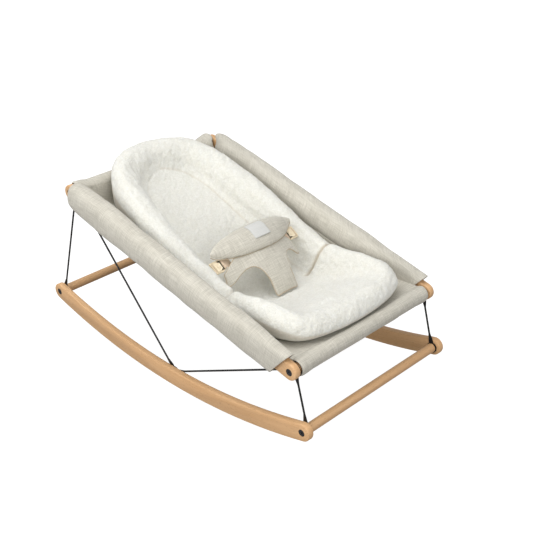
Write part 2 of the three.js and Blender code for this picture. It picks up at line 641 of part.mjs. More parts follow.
// A point of the harness: t up the panel, h out of it. The middle bows up and the sides droop.
function harnessPoint(x, t, h) {
  const side = Math.min(1, Math.abs(x) / HARNESS_HALF) ** 2;
  const f = t / PANEL_LENGTH;
  const bow = 11 * Math.sin(Math.PI * THREE.MathUtils.clamp(f, 0, 1));
  const out = h + bow * (1 - side) + (18 * f - 38) * side;
  return seatPoint(x, HINGE.s + rise.s * t + face.s * out, HINGE.n + rise.n * t + face.n * out);
}
function panelCutter(points) {
  const shape = new THREE.Shape(points.map(([x, t]) => new THREE.Vector2(x, t)));
  const geometry = new THREE.ExtrudeGeometry(shape, { depth: 160, bevelEnabled: false });
  geometry.translate(0, 0, -80);
  const frame = new THREE.Matrix4().makeBasis(X_AXIS, seatVector(rise), seatVector(face));
  geometry.applyMatrix4(frame.setPosition(seatPoint(0, HINGE.s, HINGE.n)));
  return solid(geometry);
}
// The panel narrows below to the crotch strip between two leg arches. Its upper corners are
// cut back, and the belt straps come out there.
const LEG = [
  [0.23, -0.2], [0.23, 0.06], [0.26, 0.28], [0.34, 0.45], [0.46, 0.54], [0.6, 0.56],
  [0.74, 0.51], [0.86, 0.45], [0.94, 0.44], [1.1, 0.5], [1.1, -0.2],
];
const CORNER = [[1.1, 0.6], [0.98, 0.62], [0.6, 0.8], [0.56, 1.1], [1.1, 1.1]];
const sideCut = (outlinePoints, side) => {
  const points = outlinePoints.map(([x, t]) => [side * x * HARNESS_HALF, t * PANEL_LENGTH]);
  return panelCutter(side > 0 ? points : points.reverse());
};
const panelPoint = (u, v, h) =>
  harnessPoint((u - 0.5) * 2 * 0.98 * HARNESS_HALF, v * PANEL_LENGTH, h);
const panelBlank = gridSkin(
  (u, v) => panelPoint(u, v, PANEL / 2),
  (u, v) => panelPoint(u, v, -PANEL / 2),
  22,
  12,
);
const buckleRoom = (side) =>
  buckleBlock(
    side,
    TONGUE.in - BUCKLE_CLEARANCE,
    BUCKLE_FRAME.out + BUCKLE_CLEARANCE,
    BUCKLE_FRAME.half + BUCKLE_CLEARANCE,
    BUCKLE_FRAME.low - BUCKLE_CLEARANCE,
    TONGUE.high + BUCKLE_CLEARANCE,
  ).add(beltShape(side, FIT));
const buckleRooms = buckleRoom(1).add(buckleRoom(-1));
const crotchPanel = panelBlank
  .subtract(sideCut(LEG, 1))
  .subtract(sideCut(LEG, -1))
  .subtract(sideCut(CORNER, 1))
  .subtract(sideCut(CORNER, -1))
  .subtract(buckleRooms);
addSolid("crotch_panel", crotchPanel, LINEN);

// The waist pad is a leaf-shaped cushion sewn on the outside of the panel's top edge.
const PAD_LOW = PANEL_LENGTH - 42;
const PAD_HIGH = PANEL_LENGTH + 24;
const padHalf = (x) => {
  const side = Math.min(1, Math.abs(x) / HARNESS_HALF);
  return THREE.MathUtils.lerp(0.24, 1, Math.sqrt(1 - 0.96 * side ** 2.4));
};
function padPoint(u, v, top) {
  const x = (u - 0.5) * 2 * HARNESS_HALF;
  const half = ((PAD_HIGH - PAD_LOW) / 2) * padHalf(x);
  const across = (v - 0.5) * 2;
  const t = (PAD_LOW + PAD_HIGH) / 2 + across * half;
  const puff = PAD_THICK * Math.sqrt(1 - 0.96 * across ** 2) * (0.35 + 0.65 * padHalf(x));
  const curl = t > PANEL_LENGTH ? -0.02 * (t - PANEL_LENGTH) ** 2 : 0;
  const base = PANEL / 2 + FIT + 0.4 + curl;
  return harnessPoint(x, t, top ? base + puff : base);
}
const pad = gridSkin((u, v) => padPoint(u, v, true), (u, v) => padPoint(u, v, false), 22, 8);
addSolid("waist_pad", pad.subtract(buckleRooms), LINEN);

// A blank sewn label lies on the middle of the pad.
const LABEL_HALF = 23;
const labelPoint = (u, v, lift) => {
  const x = (u - 0.5) * 2 * LABEL_HALF;
  const across = 0.3 + (v - 0.5) * 1.1;
  const under = padPoint(0.5 + x / (2 * HARNESS_HALF), (across + 1) / 2, true);
  return under.addScaledVector(seatVector(face), lift);
};
const label = gridSkin(
  (u, v) => labelPoint(u, v, FIT + 0.9),
  (u, v) => labelPoint(u, v, FIT + 0.1),
  6,
  6,
);
addSolid("pad_label", label, LABEL);

// ---- buckles --------------------------------------------------------------------------------------
// On each side a plate on the belt lies in an open tray on the side strap. The tray opens along
// the arc that the harness swings on, so the plate lifts straight out when its button is pressed.
function buckleDisc(side, radius, h0, h1) {
  const disc = new THREE.CylinderGeometry(radius, radius, h1 - h0, 24);
  disc.rotateX(Math.PI / 2);
  const frame = new THREE.Matrix4().makeBasis(X_AXIS, seatVector(wide), seatVector(lift));
  disc.applyMatrix4(frame.setPosition(bucklePoint(side, 0, 0, (h0 + h1) / 2)));
  return solid(disc);
}
const BUTTON_RADIUS = 4;
const BUTTON_TRAVEL = 1.2;
const BUTTON_BASE = 2.1;
const STRAP_OUT = 11.9; // the side strap's place, outwards from the buckle's middle
const STRAP_SUNK = 14; // how deep the side strap would run into the insert, which it ends on
let STRAP_END = 0;
for (let sunk = 0; sunk < STRAP_SUNK; STRAP_END -= 1) {
  const s = BUCKLE.s + lift.s * STRAP_END;
  const x = BUCKLE.x + STRAP_OUT;
  const [top] = insertHeights(x, s, distanceToOutline(new THREE.Vector3(x, s, 0)));
  sunk = top - (BUCKLE.n + lift.n * STRAP_END);
}
for (const [name, side] of Object.entries(SIDES)) {
  const pocket = buckleBlock(
    side, -14, TONGUE.out + 0.4, TONGUE.half + 0.4, TONGUE.low - FIT, 8,
  );
  const strapSlot = buckleBlock(side, 10.6, 13.2, STRAP_HALF + 0.6, -6, 6);
  const tray = buckleBlock(
    side, BUCKLE_FRAME.in, BUCKLE_FRAME.out, BUCKLE_FRAME.half, BUCKLE_FRAME.low, BUCKLE_FRAME.high,
  )
    .subtract(pocket)
    .subtract(strapSlot);
  addSolid(`buckle_frame_${name}`, tray, PLASTIC);

  const recess = buckleDisc(
    side, BUTTON_RADIUS + FIT, BUTTON_BASE - BUTTON_TRAVEL - 0.2, TONGUE.high + 1,
  );
  const beltSlot = buckleBlock(side, -13.4, -10.8, STRAP_HALF + 0.6, -6, 6);
  const tongue = buckleBlock(side, TONGUE.in, TONGUE.out, TONGUE.half, TONGUE.low, TONGUE.high)
    .subtract(recess)
    .subtract(beltSlot);
  addSolid(`buckle_tongue_${name}`, tongue, PLASTIC);
  addSolid(
    `buckle_button_${name}`,
    buckleDisc(side, BUTTON_RADIUS, BUTTON_BASE, TONGUE.high + 0.9),
    PLASTIC,
  );

  const raisedInsert = insertSolid().translate(...seatVector({ s: 0, n: 0.6 }).toArray());
  const sideStrap = buckleBlock(
    side, STRAP_OUT - STRAP / 2, STRAP_OUT + STRAP / 2, STRAP_HALF, STRAP_END, 2.4,
  ).subtract(raisedInsert);
  addSolid(`side_strap_${name}`, sideStrap, WEBBING);

  const belt = beltShape(side, 0);
  const turn = buckleBlock(side, -11.4 - STRAP, -11.4, STRAP_HALF, 0, TONGUE.high + FIT + STRAP / 2);
  addSolid(`belt_strap_${name}`, belt.add(turn), WEBBING);
}

export default part;
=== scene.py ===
# %% [markdown]
# A baby's rocking seat, dressed in Blender. The wooden and steel frame comes ready made
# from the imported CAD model, and everything soft is built here around it: padded linen
# sleeves, a sunken seat, a plush nest and the harness. Every cell makes one piece or one
# finish and prints what it made.

# %% Load the frame
import math

import bpy
import numpy as np
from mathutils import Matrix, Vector


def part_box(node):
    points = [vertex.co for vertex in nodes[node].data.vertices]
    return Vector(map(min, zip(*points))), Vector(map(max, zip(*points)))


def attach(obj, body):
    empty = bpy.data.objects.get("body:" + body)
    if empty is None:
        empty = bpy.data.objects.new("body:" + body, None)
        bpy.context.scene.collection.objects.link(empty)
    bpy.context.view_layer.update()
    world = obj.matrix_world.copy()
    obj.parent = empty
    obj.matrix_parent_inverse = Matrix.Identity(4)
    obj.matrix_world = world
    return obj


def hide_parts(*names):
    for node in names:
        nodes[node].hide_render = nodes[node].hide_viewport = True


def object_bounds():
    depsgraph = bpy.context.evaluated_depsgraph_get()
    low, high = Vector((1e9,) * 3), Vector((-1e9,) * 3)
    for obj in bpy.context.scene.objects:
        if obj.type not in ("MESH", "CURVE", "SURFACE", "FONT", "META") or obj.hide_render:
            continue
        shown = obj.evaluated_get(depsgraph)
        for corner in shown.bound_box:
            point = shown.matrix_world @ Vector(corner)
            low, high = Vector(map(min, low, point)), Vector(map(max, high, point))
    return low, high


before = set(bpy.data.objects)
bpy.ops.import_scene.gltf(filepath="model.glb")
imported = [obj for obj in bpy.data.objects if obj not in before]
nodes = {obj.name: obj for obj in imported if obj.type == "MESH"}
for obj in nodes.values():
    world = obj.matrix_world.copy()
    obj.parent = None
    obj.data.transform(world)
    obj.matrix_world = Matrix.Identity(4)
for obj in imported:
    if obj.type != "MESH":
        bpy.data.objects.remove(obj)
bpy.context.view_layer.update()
SEAT = "seat_frame"
HARNESS = "harness"

# %% [markdown]
# The seat is a tilted tray, so its pieces are easiest to describe on the tray's own axes:
# x across, s up along the rails from the foot bolt, and n standing off the rails' plane.
# The two rail bolts of the frame give that plane, so nothing here is measured twice.


# %% The seat's own axes
def middle(node):
    low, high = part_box(node)
    return (low + high) / 2


foot_bolt = middle("bolt_rail_foot_left")
head_bolt = middle("bolt_rail_head_left")
FOOT_Y, FOOT_Z = foot_bolt.y, foot_bolt.z
RAIL = math.hypot(head_bolt.y - FOOT_Y, head_bolt.z - FOOT_Z)
RUN = (head_bolt.y - FOOT_Y) / RAIL
RISE = (head_bolt.z - FOOT_Z) / RAIL
RAIL_X = middle("side_rail_left").x
MM = 0.001
SIDES = {"right": -1, "left": 1}


def seat(x, s, n):
    """Points given on the seat's axes in millimetres, as x, y and z in metres."""
    x, s, n = np.broadcast_arrays(x, s, n)
    y = FOOT_Y + MM * (s * RUN - n * RISE)
    z = FOOT_Z + MM * (s * RISE + n * RUN)
    return np.stack([MM * x, y, z], axis=-1)


def profile(pairs, unit=1.0):
    """A smooth curve through (place, value) pairs."""
    at, value = np.array(pairs, float).T
    at = at * unit
    ahead = np.minimum(np.arange(len(at)) + 1, len(at) - 1)
    behind = np.maximum(np.arange(len(at)) - 1, 0)
    slope = (value[ahead] - value[behind]) / (at[ahead] - at[behind])

    def read(where):
        i = np.clip(np.searchsorted(at, where, side="right") - 1, 0, len(at) - 2)
        step = at[i + 1] - at[i]
        t = np.clip((where - at[i]) / step, 0, 1)
        return (
            (1 + 2 * t) * (1 - t) ** 2 * value[i]
            + t * (1 - t) ** 2 * step * slope[i]
            + t * t * (3 - 2 * t) * value[i + 1]
            + t * t * (t - 1) * step * slope[i + 1]
        )

    return read


RAIL_MM = RAIL / MM
SLOPE = math.atan2(RISE, RUN)
print("rail", round(RAIL_MM, 1), "mm, slope", round(math.degrees(SLOPE), 2))

# %% [markdown]
# Cloth is woven, so its finish has to know which way the threads run. Each cloth mesh
# carries an attribute called cloth: how far a point lies across and along the piece, in
# metres. The weave is drawn from that and bends with the piece.


# %% Mesh helpers
def give_cloth(mesh, across_along):
    """Stores how far each point lies across and along the cloth."""
    flat = np.zeros((len(mesh.vertices), 3), np.float32)
    flat[:, :2] = np.asarray(across_along, np.float32).reshape(-1, 2)
    made = mesh.attributes.new("cloth", "FLOAT_VECTOR", "POINT")
    made.data.foreach_set("vector", flat.ravel())


def round_off(mesh):
    """Shades every face of a mesh as part of a round surface."""
    mesh.polygons.foreach_set("use_smooth", [True] * len(mesh.polygons))


def add_mesh(name, points, faces, cloth=None):
    mesh = bpy.data.meshes.new(name)
    mesh.from_pydata(np.asarray(points, float).reshape(-1, 3).tolist(), [], faces)
    round_off(mesh)
    if cloth is not None:
        give_cloth(mesh, cloth)
    mesh.update()
    piece = bpy.data.objects.new(name, mesh)
    bpy.context.scene.collection.objects.link(piece)
    return piece


def grid_faces(rows, columns, wrap=False, flip=False, start=0):
    """Quads over a grid of points. wrap joins the last column to the first."""
    faces = []
    for j in range(rows - 1):
        low, high = start + j * columns, start + (j + 1) * columns
        for i in range(columns if wrap else columns - 1):
            k = (i + 1) % columns
            quad = (low + i, low + k, high + k, high + i)
            faces.append(quad[::-1] if flip else quad)
    return faces


def lengths(points, axis):
    """How far each point of a grid lies along one of its two directions, in metres."""
    step = np.linalg.norm(np.diff(points, axis=axis), axis=-1)
    first = np.zeros_like(np.take(step, [0], axis=axis))
    return np.cumsum(np.concatenate([first, step], axis=axis), axis=axis)


def cloth_grid(name, points, flip=False):
    """A sheet through a grid of points, with its cloth attribute."""
    flat = np.stack([lengths(points, 1), lengths(points, 0)], axis=-1)
    return add_mesh(name, points, grid_faces(*points.shape[:2], flip=flip), flat)


def tube_cloth(rings):
    """How far the points of a closed tube's rings lie round it and along it."""
    closed = np.concatenate([rings, rings[:, :1]], axis=1)
    return np.stack([lengths(closed, 1)[:, :-1], lengths(closed, 0)[:, :-1]], axis=-1)


def area_of(points):
    """The area of a sheet through a grid of points, in square metres."""
    wide = np.linalg.norm(np.diff(points, axis=1), axis=-1)[:-1]
    long = np.linalg.norm(np.diff(points, axis=0), axis=-1)[:, :-1]
    return float((wide * long).sum())


def modifier(piece, kind, name, **values):
    made = piece.modifiers.new(name, kind)
    for key, value in values.items():
        setattr(made, key, value)
    return made


def apply_all(piece):
    """Applies every modifier of the piece, in order."""
    graph = bpy.context.evaluated_depsgraph_get()
    mesh = bpy.data.meshes.new_from_object(piece.evaluated_get(graph))
    piece.modifiers.clear()
    piece.data = mesh
    return piece


def places(piece):
    """Where the points of a piece, or of its evaluated copy, are now."""
    found = np.zeros(len(piece.data.vertices) * 3)
    piece.data.vertices.foreach_get("co", found)
    return found.reshape(-1, 3)


def put_places(piece, points):
    piece.data.vertices.foreach_set("co", np.asarray(points, float).ravel())
    piece.data.update()


def normals(piece):
    found = np.zeros(len(piece.data.vertices) * 3)
    piece.data.vertex_normals.foreach_get("vector", found)
    return found.reshape(-1, 3)


def seat_coordinates(points):
    """The reverse of seat(): x, s and n in millimetres."""
    y, z = (points[..., 1] - FOOT_Y) / MM, (points[..., 2] - FOOT_Z) / MM
    return points[..., 0] / MM, y * RUN + z * RISE, z * RUN - y * RISE


# %% [markdown]
# Cloth never lies quite smooth. A few seeded waves with different directions and lengths,
# added together, give the slow lumps of a filled tube without a repeating look. The seed
# is fixed, so the seat looks the same each time.


# %% Lumps and creases
def lumps(points, size, seed, count=14):
    """Seeded smooth values near -1 to 1 at the points, whose waves are about size long."""
    draw = np.random.default_rng(seed)
    total = np.zeros(points.shape[:-1])
    for _ in range(count):
        direction = draw.normal(size=3)
        direction /= np.linalg.norm(direction)
        wave = 2 * math.pi / (size * draw.uniform(0.7, 1.6))
        total += np.sin(points @ direction * wave + draw.uniform(0, 2 * math.pi))
    return total / math.sqrt(count)


def bump_at(value, centre, width):
    """A smooth hill of height 1."""
    return np.exp(-(((value - centre) / width) ** 2))


def smooth_step(low, high, value):
    t = np.clip((value - low) / (high - low), 0, 1)
    return t * t * (3 - 2 * t)


# %% [markdown]
# Finishes are built from nodes. Effects that several finishes share are node groups, each
# made once: flecks and figure for the beech, threads for anything woven, and a fine
# unevenness for painted or moulded surfaces. A group only puts out masks and heights, and
# the shader stays in the material.


# %% Node helpers
def feed(tree, socket, value):
    """Links a socket to another one, or gives it a plain value."""
    if isinstance(value, bpy.types.NodeSocket):
        tree.links.new(value, socket)
    else:
        socket.default_value = value


def node(tree, kind, inputs=None, **values):
    made = tree.nodes.new(kind)
    for key, value in values.items():
        setattr(made, key, value)
    for key, value in (inputs or {}).items():
        feed(tree, made.inputs[key], value)
    return made


def maths(tree, operation, a, b=0.0, c=0.0, clamp=False):
    inputs = {0: a, 1: b, 2: c}
    return node(tree, "ShaderNodeMath", inputs, operation=operation, use_clamp=clamp).outputs[0]


def weighted(tree, a, share_a, b, share_b, mode="ADD"):
    """Two values, each times its share, added or subtracted."""
    parts = (maths(tree, "MULTIPLY", a, share_a), maths(tree, "MULTIPLY", b, share_b))
    return maths(tree, mode, *parts)


def stretched(tree, vector, scale):
    made = node(tree, "ShaderNodeVectorMath", {0: vector, 1: scale}, operation="MULTIPLY")
    return made.outputs[0]


def noise_of(tree, vector, scale, detail=2.0, rough=0.5, twist=0.0):
    inputs = {
        "Vector": vector, "Scale": scale, "Detail": detail, "Roughness": rough, "Distortion": twist
    }
    return node(tree, "ShaderNodeTexNoise", inputs).outputs["Fac"]


def remap(tree, value, low, high, to_low=0.0, to_high=1.0, smooth=False):
    inputs = {
        "Value": value, "From Min": low, "From Max": high, "To Min": to_low, "To Max": to_high
    }
    curve = "SMOOTHSTEP" if smooth else "LINEAR"
    return node(tree, "ShaderNodeMapRange", inputs, interpolation_type=curve).outputs["Result"]


def blend_colours(tree, factor, a, b, mode="MIX"):
    made = node(tree, "ShaderNodeMix", data_type="RGBA", blend_type=mode)
    feed(tree, made.inputs[0], factor)
    for key, colour in ((6, a), (7, b)):
        feed(tree, made.inputs[key], (*colour, 1.0) if isinstance(colour, tuple) else colour)
    return made.outputs[2]


def new_group(name, inputs, outputs):
    """A shader node group with its sockets, and its two end nodes."""
    tree = bpy.data.node_groups.new(name, "ShaderNodeTree")
    for label, kind, value in inputs:
        made = tree.interface.new_socket(label, in_out="INPUT", socket_type=kind)
        if value is not None:
            made.default_value = value
    for label in outputs:
        tree.interface.new_socket(label, in_out="OUTPUT", socket_type="NodeSocketFloat")
    return tree, tree.nodes.new("NodeGroupInput").outputs, tree.nodes.new("NodeGroupOutput")


def use_group(tree, group, **inputs):
    made = node(tree, "ShaderNodeGroup", node_tree=group)
    for key, value in inputs.items():
        feed(tree, made.inputs[key], value)
    return made.outputs


def new_finish(name, **values):
    """A material with one Principled shader, whose plain values are set by name."""
    made = bpy.data.materials.new(name)
    made.use_nodes = True
    shader = made.node_tree.nodes["Principled BSDF"]
    for key, value in values.items():
        shader.inputs[key.replace("_", " ")].default_value = value
    return made, made.node_tree, shader


def raise_surface(tree, shader, height, distance, strength=1.0):
    made = node(
        tree, "ShaderNodeBump", {"Height": height, "Distance": distance, "Strength": strength}
    )
    tree.links.new(made.outputs["Normal"], shader.inputs["Normal"])


# %% [markdown]
# Beech is pale and even, with short dark flecks that lie along the grain and slow bands
# of warmer and cooler brown. Both are noise stretched along the grain. The group expects
# a vector whose first axis runs along the grain, so each board only has to say where its
# grain goes.

# %% Beech grain group
FLOAT = "NodeSocketFloat"
beech_grain, given, result = new_group(
    "beech grain",
    [("Vector", "NodeSocketVector", None), ("Fleck size", FLOAT, 1.0)],
    ["Bands", "Flecks", "Pores"],
)


def grain_noise(along, across, scale=1.0, *shape):
    """Noise drawn out along the grain: so many features per metre along and across it."""
    place = stretched(beech_grain, given["Vector"], (along, across, across))
    return noise_of(beech_grain, place, scale, *shape)


bands = grain_noise(2.2, 55, 1.0, 3, 0.55, 0.6)
fine = grain_noise(14, 520)
both = weighted(beech_grain, bands, 0.62, fine, 0.38)
beech_grain.links.new(remap(beech_grain, both, 0.32, 0.68), result.inputs["Bands"])
fleck = grain_noise(150, 900, given["Fleck size"], 1.5)
beech_grain.links.new(remap(beech_grain, fleck, 0.6, 0.72, smooth=True), result.inputs["Flecks"])
beech_grain.links.new(grain_noise(90, 3200, 1.0, 1.0), result.inputs["Pores"])

# %% [markdown]
# The rockers are cut from bent stock, so their grain follows the curve: the along axis is
# the angle round the rocker's centre times its radius. The rails' grain runs up the
# slope, and the dowels' grain runs from side to side.

# %% Beech finishes
ROCKER_DEEP = 0.038
ROCKER_END = middle("bolt_base_head_left")
BAND_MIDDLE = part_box("rocker_left")[0].z + ROCKER_DEEP / 2
chord, drop = ROCKER_END.y, ROCKER_END.z - BAND_MIDDLE
ROCKER_ROUND = (chord**2 + drop**2) / (2 * drop)
ROCKER_TOP = BAND_MIDDLE + ROCKER_ROUND
print("rocker's middle line has a radius of", round(ROCKER_ROUND, 3), "m")

WOOD_PALE = (0.75, 0.47, 0.245)
WOOD_WARM = (0.63, 0.36, 0.165)
WOOD_DARK = (0.34, 0.17, 0.072)


def round_grain(tree, place):
    """Along the grain is round the rocker's centre, and across it is out from that centre."""
    split = node(tree, "ShaderNodeSeparateXYZ", {0: place}).outputs
    below = maths(tree, "SUBTRACT", ROCKER_TOP, split["Z"])
    angle = maths(tree, "ARCTAN2", split["Y"], below)
    square = weighted(tree, split["Y"], split["Y"], below, below)
    along = maths(tree, "MULTIPLY", angle, ROCKER_ROUND)
    inputs = {0: along, 1: split["X"], 2: maths(tree, "SQRT", square)}
    return node(tree, "ShaderNodeCombineXYZ", inputs).outputs[0]


def slope_grain(tree, place):
    """Along the grain is up the slope of the rails."""
    turned = node(tree, "ShaderNodeMapping", {"Vector": place, "Rotation": (-SLOPE, 0, 0)})
    split = node(tree, "ShaderNodeSeparateXYZ", {0: turned.outputs[0]}).outputs
    inputs = {0: split["Y"], 1: split["X"], 2: split["Z"]}
    return node(tree, "ShaderNodeCombineXYZ", inputs).outputs[0]


def beech(name, grain, shade=1.0):
    made, tree, shader = new_finish(name, Roughness=0.45, Coat_Weight=0.18, Coat_Roughness=0.35)
    place = node(tree, "ShaderNodeTexCoord").outputs["Object"]
    out = use_group(tree, beech_grain, Vector=grain(tree, place) if grain else place)
    tones = (WOOD_PALE, WOOD_WARM, WOOD_DARK)
    pale, warm, dark = (tuple(c * shade for c in tone) for tone in tones)
    colour = blend_colours(tree, out["Bands"], warm, pale)
    flecks = maths(tree, "MULTIPLY", out["Flecks"], 0.42)
    colour = blend_colours(tree, flecks, colour, dark)
    tree.links.new(colour, shader.inputs["Base Color"])
    tree.links.new(remap(tree, out["Bands"], 0, 1, 0.52, 0.4), shader.inputs["Roughness"])
    raise_surface(tree, shader, out["Pores"], 0.00012, 0.5)
    return made


beech_round = beech("beech rocker", round_grain)
beech_slope = beech("beech rail", slope_grain)
beech_dowel = beech("beech dowel", None, 0.9)
print("three beech finishes")

# %% [markdown]
# The rods are powder coated: black, satin and very slightly uneven. The bolts are black
# oxide, a bit more metallic, and rubbed a little brighter in scattered patches.

# %% Steel finishes
fine_uneven, given, result = new_group(
    "fine unevenness",
    [("Vector", "NodeSocketVector", None), ("Scale", FLOAT, 900.0)],
    ["Height", "Smudges"],
)
fine_uneven.links.new(
    noise_of(fine_uneven, given["Vector"], given["Scale"], 2.0), result.inputs["Height"]
)
fine_uneven.links.new(noise_of(fine_uneven, given["Vector"], 35.0, 3.0), result.inputs["Smudges"])


def smooth_finish(name, colour, worn, rough, metallic=0.0, grit=900.0, depth=0.00005):
    made, tree, shader = new_finish(name, Metallic=metallic)
    place = node(tree, "ShaderNodeTexCoord").outputs["Object"]
    out = use_group(tree, fine_uneven, Vector=place, Scale=grit)
    smudge = remap(tree, out["Smudges"], 0.35, 0.7)
    tree.links.new(blend_colours(tree, smudge, colour, worn), shader.inputs["Base Color"])
    tree.links.new(remap(tree, smudge, 0, 1, rough[0], rough[1]), shader.inputs["Roughness"])
    raise_surface(tree, shader, out["Height"], depth, 0.5)
    return made


rod_black = smooth_finish(
    "rod powder coat", (0.004, 0.004, 0.0045), (0.008, 0.008, 0.0085), (0.42, 0.52)
)
bolt_black = smooth_finish(
    "bolt black oxide", (0.035, 0.035, 0.04), (0.07, 0.07, 0.075), (0.3, 0.45), 0.7, 1500.0
)
buckle_cream = smooth_finish(
    "buckle plastic", (0.82, 0.70, 0.50), (0.86, 0.745, 0.55), (0.36, 0.48), 0.0, 1400.0, 0.00004
)
print("steel and plastic finishes")

# %% [markdown]
# Linen yarn changes thickness along its length, which shows as short pale and dark
# streaks across and along the cloth. Close up, the over-and-under of the plain weave is a
# product of two waves. Both come from the cloth attribute. One group serves linen, webbing
# and label, each with its own thread pitch.

# %% Woven thread group
woven, given, result = new_group(
    "woven threads",
    [("Vector", "NodeSocketVector", None), ("Pitch", FLOAT, 0.0008), ("Streak", FLOAT, 1.0)],
    ["Weave", "Streaks", "Shade"],
)
split = node(woven, "ShaderNodeSeparateXYZ", {0: given["Vector"]}).outputs
turn = maths(woven, "DIVIDE", 2 * math.pi, given["Pitch"])
waves = [maths(woven, "SINE", maths(woven, "MULTIPLY", split[axis], turn)) for axis in "XY"]
cross = maths(woven, "MULTIPLY", *waves)
woven.links.new(remap(woven, cross, -1, 1), result.inputs["Weave"])
yarns = [
    noise_of(woven, stretched(woven, given["Vector"], run), given["Streak"], 2.0, 0.6)
    for run in ((620, 26, 1), (30, 560, 1))
]
both = maths(woven, "MULTIPLY", maths(woven, "ADD", *yarns), 0.5)
woven.links.new(remap(woven, both, 0.36, 0.64), result.inputs["Streaks"])
woven.links.new(noise_of(woven, given["Vector"], 14.0, 3.0), result.inputs["Shade"])


# %% Linen, webbing, label and thread finishes
def cloth_finish(name, pale, dark, pitch, depth, streak=1.0, sheen=0.25):
    made, tree, shader = new_finish(
        name, Roughness=0.92, Sheen_Weight=sheen, Sheen_Roughness=0.45, Specular_IOR_Level=0.15
    )
    flat = node(tree, "ShaderNodeAttribute", attribute_name="cloth").outputs["Vector"]
    out = use_group(tree, woven, Vector=flat, Pitch=pitch, Streak=streak)
    mixed = weighted(tree, out["Streaks"], 0.62, out["Shade"], 0.38)
    colour = blend_colours(tree, remap(tree, mixed, 0.15, 0.85), dark, pale)
    gaps = remap(tree, out["Weave"], 0.0, 0.5, 0.9, 1.0)
    shadows = node(tree, "ShaderNodeCombineColor", {0: gaps, 1: gaps, 2: gaps}).outputs[0]
    colour = blend_colours(tree, 1.0, colour, shadows, "MULTIPLY")
    tree.links.new(colour, shader.inputs["Base Color"])
    tree.links.new(remap(tree, out["Streaks"], 0, 1, 0.97, 0.86), shader.inputs["Roughness"])
    height = weighted(tree, out["Weave"], 0.55, out["Streaks"], 0.45)
    raise_surface(tree, shader, height, depth, 0.6)
    return made


linen = cloth_finish("linen cloth", (0.69, 0.66, 0.58), (0.45, 0.425, 0.36), 0.0009, 0.0005)
webbing = cloth_finish(
    "webbing tape", (0.73, 0.585, 0.44), (0.62, 0.475, 0.345), 0.0016, 0.0005, 0.6
)
label_white = cloth_finish(
    "label tape", (0.64, 0.64, 0.615), (0.58, 0.58, 0.56), 0.0005, 0.0001, 1.6, 0.1
)
thread = smooth_finish(
    "sewing thread", (0.44, 0.355, 0.25), (0.52, 0.435, 0.32), (0.8, 0.9), 0.0, 2500.0
)
print("woven finishes")

# %% [markdown]
# The plush is a short curly pile. From a step away it reads as a soft, slightly clotted
# surface with no gloss, whose light is spread by the fibres. Rounded cells of two sizes
# stand for the curls, and a sheen set on the shader gives the pale edge of a pile. At
# seams and folds a warm tan is mixed into the colour, partly the backing where the pile
# opens and partly painted shade; round the nest's lower edge, where it rests on the
# cloth, the same tan is painted shade alone. An attribute, drawn with the nest, says where.

# %% Plush finish
PILE_PALE = (0.78, 0.775, 0.73)
PILE_DEEP = (0.665, 0.655, 0.597)
# A warm tan: the pile's backing, also used as painted shade in folds, at seams and under the
# nest's edge.
BACKING_AND_SHADE = (0.47, 0.385, 0.27)
plush, tree, shader = new_finish(
    "plush pile", Roughness=1.0, Sheen_Weight=0.12, Sheen_Roughness=0.6, Specular_IOR_Level=0.02,
    Subsurface_Weight=0.5, Subsurface_Radius=(1.0, 0.95, 0.85), Subsurface_Scale=0.006
)
place = node(tree, "ShaderNodeTexCoord").outputs["Object"]
cells = {"Vector": place, "Scale": 330.0, "Randomness": 1.0}
curls = node(tree, "ShaderNodeTexVoronoi", cells, feature="SMOOTH_F1").outputs["Distance"]
clots = noise_of(tree, place, 120.0, 4.0, 0.7, 0.8)
shade = maths(tree, "MULTIPLY", noise_of(tree, place, 22.0, 3.0), 0.25)
pile = weighted(tree, clots, 1.1, curls, 0.6, "SUBTRACT")
tone = maths(tree, "ADD", remap(tree, pile, 0.1, 0.6, 0.0, 0.75), shade, clamp=True)
pile_colour = blend_colours(tree, tone, PILE_DEEP, PILE_PALE)
# Painted shade: this attribute mixes in the warm tan at folds and seams, partly as backing and
# partly as shade, and under the nest's lower edge as shade alone.
parted_and_shaded = node(tree, "ShaderNodeAttribute", attribute_name="parting_and_shade").outputs["Fac"]
pile_colour = blend_colours(tree, parted_and_shaded, pile_colour, BACKING_AND_SHADE)
tree.links.new(pile_colour, shader.inputs["Base Color"])
raise_surface(tree, shader, pile, 0.0022, 0.75)
print("plush finish")

# %% [markdown]
# The wooden and steel pieces keep their CAD shape. Their facets are joined and shaded as
# round surfaces by a small geometry-nodes modifier, which leaves edges sharper than a set
# angle crisp, and a narrow bevel lets those edges catch the light.

# %% Smooth shading for the frame's pieces
SHARP = math.radians(34)
BEVEL_FROM = math.radians(40)
WELD = 1e-5
rounder = bpy.data.node_groups.new("join and shade", "GeometryNodeTree")
for way in ("INPUT", "OUTPUT"):
    rounder.interface.new_socket("Geometry", in_out=way, socket_type="NodeSocketGeometry")


def shade_smooth(geometry, smooth, domain):
    inputs = {"Geometry": geometry, "Shade Smooth": smooth}
    return node(rounder, "GeometryNodeSetShadeSmooth", inputs, domain=domain).outputs[0]


enter = node(rounder, "NodeGroupInput").outputs[0]
weld = node(rounder, "GeometryNodeMergeByDistance", {"Geometry": enter, "Distance": WELD})
angle = node(rounder, "GeometryNodeInputMeshEdgeAngle").outputs[0]
gentle = node(rounder, "FunctionNodeCompare", {0: angle, 1: SHARP}, operation="LESS_THAN")
faces = shade_smooth(weld.outputs[0], True, "FACE")
node(rounder, "NodeGroupOutput", {0: shade_smooth(faces, gentle.outputs[0], "EDGE")})


